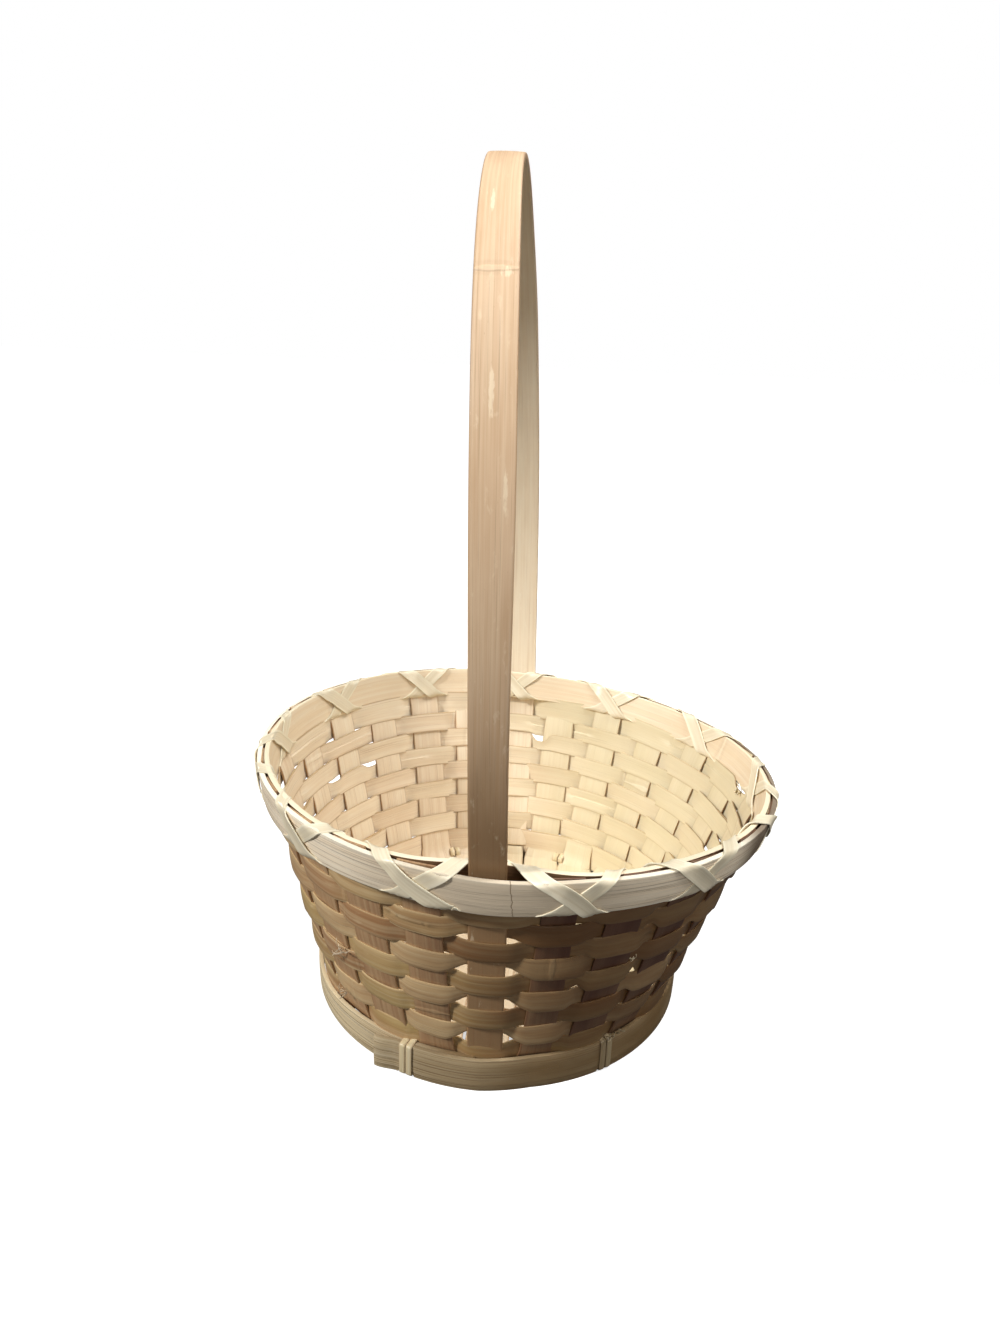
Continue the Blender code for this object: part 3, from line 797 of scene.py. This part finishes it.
halfTurn = basket["stakes"] // 2
lengthwise = list(range(-stake["reach"], stake["reach"] + 1))
crosswise = list(range(stake["reach"] + 1, halfTurn - stake["reach"]))
stakeTop = rimHeight - stake["drop"]
for number, place in enumerate(lengthwise):
    # the middle one is the short strip under the handle's legs
    makeStake(f"long_stake_{number + 1}", f"stake_lengthwise_{number + 1}", place, halfTurn - place,
              crosswise, number % 2 == 0, foot["height"] if place == 0 else stakeTop)
for number, place in enumerate(crosswise):
    makeStake(f"cross_stake_{number + 1}", f"stake_crosswise_{number + 1}", place, -place,
              lengthwise, number % 2 == 1, stakeTop)
print("stakes laid:", len(lengthwise) + len(crosswise))


# Rim hoops: an outer and an inner band, which spring away from the wall at the handle's legs
def outerHoopInside(angle):
    return weaveHalf + basket["clearance"] + hoop["ease"] + spring(angle, hoop["springOut"])


def outerHoopOutside(angle):
    return outerHoopInside(angle) + hoop["thickness"]


def innerHoopOutside(angle):
    gap = weaveHalf + basket["clearance"] + hoop["ease"] - hoop["pinch"]
    return gap - spring(angle, hoop["springIn"]) - spring(angle, hoop["springNear"], nearOnly=True)


def innerHoopInside(angle):
    return innerHoopOutside(angle) - hoop["thickness"]


def makeHoop(which, faces, flare, outside, inside, edgesAs, seed):
    # the hoop's ends meet at the back under a crossing of the lashing
    points = []
    meeting = stakeAngle(halfTurn + 1) - fullTurn
    nearLeg = round(-meeting / fullTurn * hoop["steps"])
    for column in range(hoop["steps"] + 1):
        angle = meeting + fullTurn * (column % hoop["steps"]) / hoop["steps"]
        middle = sum(face(angle) for face in faces) / 2
        wave = wobble(seed, math.cos(angle) * hoop["wavePace"], math.sin(angle) * hoop["wavePace"])
        line = []
        for share in fiveLines:
            lift = hoop["wave"] * wave * ease(share, 0.0, 0.5)
            height = (hoopBottom + rimHeight) / 2 + share * hoop["height"]
            here, side, up, out = wallFrame(angle, height)
            bulge = hoop["crown"] * arch(share) + flare * hoop["height"] * (0.5 - share)
            line.append(here + out * (middle + bulge) + up * lift)
        points.append(line)
    piece = layStrip(f"{which}_hoop", points, fiveLines, hoop["height"], ringed=True,
                     origin=-lengthsAlong(points)[nearLeg])
    thicken(piece, hoop, outside, inside, segments=3, edgesAs=edgesAs)
    settle(piece, f"{which}_hoop_bamboo", f"rim_hoop_{which}")


makeHoop("outer", (outerHoopInside, outerHoopOutside), hoop["flare"], "outerHoop", "shadedHoopBack", 0, 91)
makeHoop("inner", (innerHoopInside, innerHoopOutside), 0.0, "shadedHoopBack", "innerHoop", 1, 92)
print("hoops bent")


# Rim lashing: a strip wound over both hoops. It is laid out flat first, as places round the rim
# against the way round the hoops' section, and each point of it is then wrapped on to the hoops.
lashing = dict(
    width=0.0082, pinch=0.0078, thickness=0.0007, bevel=0.00014, seat=0.00012, steps=62,
    round=0.026, roundSamples=9,        # how gently its path turns
    corner=0.0015, cornerSamples=5,     # and it bends over the hoops
    foot=0.27, crown=0.39,              # shares of a place from a crossing to its lowest and highest points
    cup=0.00055, over=0.0009, topRun=0.0082,
    crossCore=0.0050, crossEdge=0.0095, underEdge=0.0065, lowEdge=0.0150, wayStep=0.002,
    rightShift=0.16, rightOver=0.6,     # the winding is uneven on both sides of the near leg
    leftReach=0.24, leftAt=-0.7, leftOver=0.35,
    uneven=0.06, unevenPace=6, seed=101,
)
lashingLines = (-0.5, -0.35, -0.15, 0.15, 0.35, 0.5)
faceRun = hoop["height"] + 2 * lashing["seat"]
innerEnd = 2 * faceRun + lashing["topRun"]
fullRun = 2 * faceRun + 2 * lashing["topRun"]
rimStops = (0.0, faceRun, faceRun + lashing["topRun"], innerEnd, fullRun)
rimPitch = fullTurn * (basket["rimX"] + basket["rimY"]) / 2 / basket["stakes"]


def average(path, at, reach, samples):
    # the mean of a path's points on both sides of one place, which rounds its corners
    total = Vector((0, 0))
    for number in range(samples):
        total += path(at + reach * (2 * number / (samples - 1) - 1))
    return total / samples


def sharpRim(angle, run, lift):
    # outward and height over the hoops' section: up the outer face, over the top, down the inner
    # face and back below
    outer = outerHoopOutside(angle) + lashing["seat"] + lift
    inner = innerHoopInside(angle) - lashing["seat"] - lift
    low = hoopBottom - lashing["seat"] - lift
    high = rimHeight + lashing["seat"] + lift
    flared = outer + hoop["flare"] * hoop["height"]
    corners = ((flared, low), (outer, high), (inner, high), (inner, low), (flared, low))
    index, share = stretch(rimStops, run % fullRun)
    return Vector(corners[index]).lerp(Vector(corners[index + 1]), share)


def roundRim(place, run, lift):
    # the same point with the section's corners rounded, on the rim
    angle = stakeAngle(place)
    outward, height = average(lambda near: sharpRim(angle, near, lift), run,
                              lashing["corner"], lashing["cornerSamples"])
    level = rimHeight - hoop["height"] / 2
    here, side, up, out = wallFrame(angle, level)
    return here + out * outward + up * (height - level)


def sharpPath(turn):
    # place and run after some turns: one full turn moves two places on
    whole = math.floor(turn)
    run = (turn - whole) * fullRun
    low = lashing["foot"]
    high = lashing["crown"]
    places = (-low, high, 1 - high, 1 + low, 2 - low)
    index, share = stretch(rimStops, run)
    place = places[index] + (places[index + 1] - places[index]) * share
    return Vector((place + 2 * whole, run + whole * fullRun))


def smoothPath(turn):
    return average(sharpPath, turn, lashing["round"], lashing["roundSamples"])


def unevenly(place, low):
    # the crossing right of the near leg sits further from it, and the arm on its left ends nearer to it
    moved = lashing["rightShift"] * bell(away(place, 1) / lashing["rightOver"])
    moved += lashing["leftReach"] * low * bell(away(place, lashing["leftAt"]) / lashing["leftOver"])
    return place + moved


def makeLashing(name, node, hand, isOver):
    points = []
    columns = halfTurn * lashing["steps"]
    crossRun = faceRun * lashing["foot"] / (lashing["foot"] + lashing["crown"])
    crossings = (crossRun, innerEnd - crossRun)
    for column in range(columns + 1):
        turn = column / lashing["steps"]
        place, run = smoothPath(turn)
        ahead = smoothPath(turn + lashing["wayStep"])
        flatWay = Vector(((ahead[0] - place) * rimPitch, ahead[1] - run)).normalized()
        flatSide = Vector((-flatWay.y, flatWay.x))
        inTurn = run % fullRun
        nearCross = max(1 - ease(abs(inTurn - spot), lashing["crossCore"], lashing["crossEdge"])
                        for spot in crossings)
        fromBottom = 0.0 if inTurn > innerEnd else min(inTurn, innerEnd - inTurn)
        under = 1 - ease(fromBottom, 0.0, lashing["underEdge"])
        low = 1 - ease(fromBottom, 0.0, lashing["lowEdge"]) if isOver else 0.0
        width = lashing["width"] + (lashing["pinch"] - lashing["width"]) * under
        around = fullTurn * turn / halfTurn
        pace = lashing["unevenPace"]
        width *= 1 + lashing["uneven"] * wobble(lashing["seed"] + hand, pace * math.cos(around),
                                                pace * math.sin(around))
        lift = lashing["thickness"] / 2 + nearCross * (lashing["over"] if isOver else 0.0)
        cup = lashing["cup"] * (1 - under) * (1.0 if isOver else 1 - nearCross)
        line = []
        for share in lashingLines:
            where = flatSide * share * width
            spot = unevenly(hand * (1 + place + where.x / rimPitch), low)
            line.append(roundRim(spot, run + where.y, lift + cup * 4 * share * share))
        points.append(line)
    piece = layStrip(name, points, lashingLines, lashing["width"], ringed=True)
    thicken(piece, lashing, "lashing", "lashing")
    settle(piece, "lashing_bamboo", node)


makeLashing("lashing_under", "rim_lashing_under", 1, False)
makeLashing("lashing_over", "rim_lashing_over", -1, True)
print("rim lashed")


# Handle: one strap from the foot of the near leg over the arch to the foot of the far leg
handle = dict(
    width=0.0198, thickness=0.0036, bevel=0.0009, crown=0.00035,
    spread=0.017, widest=0.120, rise=0.332, squareness=2.2,
    lean=0.0105, bow=0.0020, farShift=0.0042,
    topNarrow=0.06, topFrom=0.25,
    rimNarrow=0.085, rimFrom=0.05, rimTo=0.22,      # the near leg is narrower at the rim, on its right,
    legNarrow=0.45, legUnder=0.02,                  # and less so under it
    nearFrom=-0.10, nearTo=-0.05,
    widthStray=(0.012, 0.05, 120),
    legSteps=34, riseSteps=30, archSteps=150,
)
handleLines = (-0.5, -0.4, -0.2, 0.0, 0.2, 0.4, 0.5)


def handleRun():
    # the strap's middle points, each with 0 in the wall, 1 in the arch and a share between
    bottom = foot["height"] + basket["clearance"] + legHalf * math.sin(lowestSlope)
    nearRim = wallPoint(0, rimHeight)
    farRim = wallPoint(math.pi, rimHeight)
    middle = (nearRim + farRim) / 2
    rimHalf = (farRim - nearRim).length / 2
    widest = rimHalf + handle["spread"]

    def archPoint(sign, rise, reach):
        share = rise / handle["rise"]
        drop = -basket["dipY"] * sign * rimHalf * (1 - min(rise / handle["widest"], 1))
        lean = -handle["lean"] * share + handle["bow"] * math.sin(math.pi * share)
        if sign > 0:
            lean += handle["farShift"] * (1 - share)
        return middle + Vector((lean, sign * reach, rise + drop))

    def legRun(sign, angle, shift):
        # one leg from its foot in the wall up to the arch
        run = []
        for step in range(handle["legSteps"]):
            height = bottom + (rimHeight - bottom) * step / handle["legSteps"]
            run.append((wallPoint(angle, height) + Vector((shift, 0, 0)), 0.0))
        for step in range(handle["riseSteps"]):
            share = step / handle["riseSteps"]
            reach = widest - handle["spread"] * (1 - share) ** 2
            run.append((archPoint(sign, handle["widest"] * share, reach), share))
        return run

    run = legRun(-1, 0.0, 0.0)
    power = 2 / handle["squareness"]
    for step in range(handle["archSteps"] + 1):
        turn = math.pi * step / handle["archSteps"]
        rise = handle["widest"] + (handle["rise"] - handle["widest"]) * max(math.sin(turn), 0.0) ** power
        cosine = math.cos(turn)
        run.append((archPoint(-1 if cosine > 0 else 1, rise, widest * abs(cosine) ** power), 1.0))
    return run + legRun(1, math.pi, handle["farShift"])[::-1]


def lostWidth(here):
    # the share of the strap's width that the near leg has lost on its right
    above = 1 - ease(here.z, rimHeight + handle["rimFrom"], rimHeight + handle["rimTo"])
    under = ease(here.z, rimHeight - handle["legUnder"], rimHeight)
    near = 1 - ease(here.y, handle["nearFrom"], handle["nearTo"])
    return handle["rimNarrow"] * above * (handle["legNarrow"] + (1 - handle["legNarrow"]) * under) * near


def makeHandle():
    run = handleRun()
    points = []
    shares = []
    for index, (here, grown) in enumerate(run):
        travel = travelAt(run, index)
        across = Vector((-1, 0, 0))
        across = (across - travel * across.dot(travel)).normalized()
        out = travel.cross(across)
        width = leg["width"] + (handle["width"] - leg["width"]) * grown
        width *= 1 + stray(handle["widthStray"], index)
        atTop = ease(here.z, rimHeight + handle["topFrom"], rimHeight + handle["rise"])
        width *= 1 - handle["topNarrow"] * atTop
        lost = lostWidth(here) * width
        here = here + across * lost / 2
        width -= lost
        points.append([here + across * width * share + out * handle["crown"] * arch(share)
                       for share in handleLines])
        shares.append(grown)
    piece = layStrip("strap_handle", points, handleLines, handle["width"], weights=shares, origin=0)
    thicken(piece, handle, "handleSkin", "handlePith", segments=3,
            thinnest=leg["thickness"] / handle["thickness"])
    settle(piece, "handle_bamboo", "handle")


makeHandle()
print("handle bent")


# Foot ring: one band bent round, its ends lapped at the front left, with notches under the bindings
binding = dict(
    gaps=(-1.57, 2.5, 10.5, 13.5), width=0.0036, spacing=0.0006, thickness=0.0006, bevel=0.00012,
    cup=0.00025, ease=0.0002, overTop=0.0010, underWall=0.0022,
    backDip=0.0034,                     # the ones at the back are drawn tight inside, out of sight
    cornerRadius=0.0012, cornerSteps=5, cornerShare=0.45,
)
bindingLines = (-0.5, -0.2, 0.2, 0.5)


def footInside(angle):
    lapEnd = foot["outerEnd"] + foot["lap"]
    lift = 1.0 if angle <= lapEnd else max(0.0, 1 - (angle - lapEnd) / foot["runOut"])
    return foot["fit"] + lift * (foot["thickness"] + basket["clearance"])


def footPoint(angle, outward, height):
    x = (basket["footX"] + outward) * math.sin(angle)
    y = -(basket["footY"] + outward) * math.cos(angle)
    return Vector((x, y, height)) - centre


def footTurn(angle):
    # the same angle, counted on from the ring's outer end
    return (angle - foot["outerEnd"]) % fullTurn + foot["outerEnd"]


def makeFootRing():
    first = foot["outerEnd"]
    last = first + fullTurn + foot["lap"] - foot["innerEnd"]
    angles = [first + (last - first) * step / foot["steps"] for step in range(foot["steps"] + 1)]
    spots = [footTurn(stakeAngle(gap)) + lap * fullTurn for gap in binding["gaps"] for lap in (0, 1)]
    notches = [spot for spot in spots if spot < last]
    inner = ((binding["width"] * 2 + binding["spacing"]) / 2 + basket["clearance"]) / basket["footX"]
    outer = inner + foot["notchSide"] / basket["footX"]
    for spot in notches:
        angles += [spot - outer, spot - inner, spot + inner, spot + outer]
    points = []
    for angle in sorted(angles):
        nearest = min(abs(angle - spot) for spot in notches)
        notch = foot["notch"] * (1 - min(max((nearest - inner) / (outer - inner), 0.0), 1.0))
        middle = footInside(angle) + foot["thickness"] / 2
        standOff = foot["standOff"] * bell(math.remainder(angle - foot["standOffAt"], fullTurn)
                                           / foot["standOffSpread"])
        sprung = foot["endSpring"] * (1 - ease(angle, first, first + foot["endSpringOver"]))
        line = []
        for share in fiveLines:
            height = foot["height"] * (share + 0.5)
            if share == fiveLines[0]:
                height = notch
            if share == fiveLines[-1]:
                height += stray(foot["topStray"], angle)
            bulge = foot["crown"] * arch(share) + standOff * (share + 0.5) + sprung
            line.append(footPoint(angle, middle + bulge, height))
        points.append(line)
    piece = layStrip("foot_band", points, fiveLines, foot["height"])
    thicken(piece, foot, "footBand", "footBand")
    settle(piece, "foot_ring_bamboo", "foot_ring")


makeFootRing()


# Foot bindings: two wraps side by side that tie the foot ring to the lowest weaver
def roundedLoop(corners):
    loop = []
    for index, corner in enumerate(corners):
        ends = []
        for other in (corners[index - 1], corners[(index + 1) % len(corners)]):
            way = other - corner
            reach = min(binding["cornerRadius"], way.length * binding["cornerShare"])
            ends.append(corner + way.normalized() * reach)
        for step in range(binding["cornerSteps"] + 1):
            share = step / binding["cornerSteps"]
            loop.append(ends[0] * (1 - share) ** 2 + corner * 2 * share * (1 - share) + ends[1] * share ** 2)
    return loop


def makeBinding(name, node, gap, sideways):
    angle = stakeAngle(gap)
    seat = basket["clearance"] + binding["thickness"] / 2
    outside = footInside(footTurn(angle)) + foot["thickness"] + seat + binding["ease"]
    inside = foot["fit"] - seat
    under = foot["notch"] - seat
    over = foot["height"] + binding["overTop"]
    low = foot["height"] - binding["underWall"]
    slack = weaveHalf + seat
    base = footPoint(angle, 0, 0)
    radial = (footPoint(angle, 1.0, 0) - base).normalized()
    tangent = Vector((-radial.y, radial.x, 0))

    def besideWall(height, outward):
        here, side, up, out = wallFrame(angle, height)
        there = here + out * outward - base
        return Vector((there.dot(radial), there.z))

    dip = binding["backDip"] if base.y > 0 else 0.0
    loop = roundedLoop([
        Vector((outside, under)), Vector((outside, foot["height"])), besideWall(over, slack),
        besideWall(over - dip, -slack), besideWall(low - dip, -slack),
        Vector((inside, low - slack - dip)), Vector((inside, under))])
    points = []
    for index in list(range(len(loop))) + [0]:
        spot = loop[index]
        way = (loop[(index + 1) % len(loop)] - loop[index - 1]).normalized()
        normal = radial * way.y - Vector((0, 0, way.x))
        points.append([base + radial * spot.x + Vector((0, 0, spot.y)) - tangent * share * binding["width"]
                       + tangent * sideways + normal * binding["cup"] * arch(share)
                       for share in bindingLines])
    piece = layStrip(name, points, bindingLines, binding["width"], ringed=True)
    thicken(piece, binding, "binding", "binding")
    settle(piece, "binding_bamboo", node)


for number, gap in enumerate(binding["gaps"]):
    shift = (binding["width"] + binding["spacing"]) / 2
    for wrap, sideways in enumerate((-shift, shift)):
        makeBinding(f"wrap_{number + 1}_{wrap + 1}", f"foot_binding_{number + 1}_wrap_{wrap + 1}",
                    gap, sideways)
print("foot ring bound")


# Loose ends: splinters that have sprung out of the weave, and the knots of the bindings
fray = dict(
    thickness=0.00022, bevel=0.00003, steps=8, taper=0.7, arc=0.28, bend=0.5,
    placeStray=(0.12, 1.7, 0), heightStray=(0.0015, 1.3, 1), sideStray=(1.3, 1.9, 2),
    upward=0.35, upStray=(1.0, 2.3, 3), outward=0.25,
    shortest=0.6, lengthStray=(0.4, 2.9, 4), curlStray=(1.0, 3.1, 5),
)
frayLines = (-0.5, 0, 0.5)
# Each with its node, slot and finish, its place and height on the wall and how far out it starts,
# the number, length and width of its fibres, and its seed
frays = dict(
    splinters_left=("weaver_04", "weaver_bamboo", "weaverPith", 21.3, 0.0690, 0.0034, 6, 0.009, 0.0011, 201),
    splinters_low=("weaver_01", "weaver_bamboo", "weaverPith", 20.9, 0.0330, 0.0034, 6, 0.009, 0.0011, 211),
    splinters_right=("weaver_06", "weaver_bamboo", "weaverPith", 2.4, 0.0860, 0.0030, 3, 0.005, 0.0009, 221),
    knot_front_right=("foot_binding_2_wrap_2", "binding_bamboo", "binding", 2.62, 0.0245, 0.0034,
                      9, 0.0065, 0.0011, 231),
    lashing_end=("rim_lashing_over", "lashing_bamboo", "lashing", 6.5, 0.1240, -0.0030,
                 3, 0.008, 0.0022, 241),
)


def makeFray(name, node, slot, finish, place, height, outward, count, length, width, seed):
    fibres = []
    for number in range(count):
        here, side, up, out = wallFrame(stakeAngle(place + stray(fray["placeStray"], number, seed)),
                                        height + stray(fray["heightStray"], number, seed))
        lead = (side * stray(fray["sideStray"], number, seed)
                + up * (fray["upward"] + stray(fray["upStray"], number, seed)) + out * fray["outward"])
        lead.normalize()
        run = length * (fray["shortest"] + abs(stray(fray["lengthStray"], number, seed)))
        curl = stray(fray["curlStray"], number, seed)
        points = []
        for step in range(fray["steps"] + 1):
            share = step / fray["steps"]
            spot = (here + out * (outward + run * fray["arc"] * math.sin(math.pi * share))
                    + lead * run * share + side * curl * run * fray["bend"] * share * share)
            thin = width * (1 - fray["taper"] * share)
            points.append([spot + up * thin * line for line in frayLines])
        fibres.append(layStrip(f"{name}_{number}", points, frayLines, width))
    deselect()
    for fibre in fibres:
        fibre.select_set(True)
    bpy.context.view_layer.objects.active = fibres[0]
    bpy.ops.object.join()
    piece = bpy.context.object
    piece.name = name
    thicken(piece, fray, finish, finish, segments=1)
    settle(piece, slot, node)


for name, settings in frays.items():
    makeFray(name, *settings)
print("loose ends teased out")


# Stage: a white floor and surround, a soft sun from the left and front, and a camera where the
# photograph was taken. Only the camera sees the floor white: what it throws back is dimmer.
stage = dict(
    floorSize=14.0, floorGlow=0.68, floorWhite=0.62, floorBounce=0.08,
    sunPower=2.9, sunSize=math.radians(9), sunHeight=math.radians(37), sunTurn=math.radians(-63),
    softPower=52.0, softSize=1.5, softPlace=(1.05, -0.02, 2.20),
    fillPower=6.6, fillSize=1.0, fillPlace=(0.80, -1.42, 0.80), worldLight=0.06,
    cameraPlace=(0.01365, -0.57189, 0.40790), cameraTurn=0.0476, cameraPitch=0.3451, cameraRoll=0.0375,
    focalPixels=1000, longSide=1333, sensor=36, clipStart=0.01,
)


def grey(value):
    return (value, value, value, 1)


def makeFloor():
    deselect()
    bpy.ops.mesh.primitive_plane_add(size=stage["floorSize"], location=(0, 0, 0))
    floor = bpy.context.object
    floor.name = "floor"
    finish = Finish("floor")
    seen = finish.node("ShaderNodeLightPath")
    finish.surfaceIs({
        "Base Color": finish.mix(seen, grey(stage["floorBounce"]), grey(stage["floorWhite"])),
        "Emission Color": finish.mix(seen, grey(0), grey(stage["floorGlow"])),
        "Emission Strength": 1.0, "Roughness": 1.0, "Specular IOR Level": 0.0})
    floor.data.materials.append(finish.material)


def makeWorld():
    world = bpy.data.worlds.new("studio")
    bpy.context.scene.world = world
    world.use_nodes = True
    sky = Wiring(world.node_tree)
    seen = sky.maths("MAXIMUM", sky.node("ShaderNodeLightPath", output="Is Camera Ray"),
                     sky.node("ShaderNodeLightPath", output="Is Transmission Ray"))
    strength = sky.node("ShaderNodeMapRange", inputs={
        "Value": seen, "To Min": stage["worldLight"], "To Max": 1.0})
    background = world.node_tree.nodes["Background"]
    sky.feed(background.inputs["Strength"], strength)
    sky.feed(background.inputs["Color"], grey(1))


def hangLamp(name, kind, place):
    # a lamp at a place, turned to the middle of the floor
    lamp = bpy.data.lights.new(name, kind)
    lamp.energy = stage[name + "Power"]
    holder = bpy.data.objects.new(name, lamp)
    holder.location = place
    holder.rotation_euler = holder.location.to_track_quat("Z", "Y").to_euler()
    bpy.context.collection.objects.link(holder)
    return lamp


def makeLamps():
    # the sun stands sunTurn round from the front, seen from above, a soft lamp hangs overhead and
    # a weak one fills in from the front
    flat = math.cos(stage["sunHeight"])
    sun = hangLamp("sun", "SUN", (flat * math.sin(stage["sunTurn"]), -flat * math.cos(stage["sunTurn"]),
                                  math.sin(stage["sunHeight"])))
    sun.angle = stage["sunSize"]
    for name in ("soft", "fill"):
        panel = hangLamp(name, "AREA", stage[name + "Place"])
        panel.size = stage[name + "Size"]


def makeCamera():
    camera = bpy.data.cameras.new("camera")
    camera.lens = stage["focalPixels"] / stage["longSide"] * stage["sensor"]
    camera.sensor_width = stage["sensor"]
    camera.clip_start = stage["clipStart"]
    turn, pitch, roll = stage["cameraTurn"], stage["cameraPitch"], stage["cameraRoll"]
    ahead = Vector((-math.sin(turn) * math.cos(pitch), math.cos(turn) * math.cos(pitch), -math.sin(pitch)))
    right = Vector((math.cos(turn), math.sin(turn), 0))
    up = right.cross(ahead)
    right, up = right * math.cos(roll) + up * math.sin(roll), up * math.cos(roll) - right * math.sin(roll)
    holder = bpy.data.objects.new("camera", camera)
    axes = Matrix((right, up, -ahead)).transposed()
    holder.matrix_world = Matrix.Translation(stage["cameraPlace"]) @ axes.to_4x4()
    bpy.context.collection.objects.link(holder)
    bpy.context.scene.camera = holder


makeFloor()
makeWorld()
makeLamps()
makeCamera()
bpy.context.scene.view_settings.view_transform = "Standard"
print("stage set")
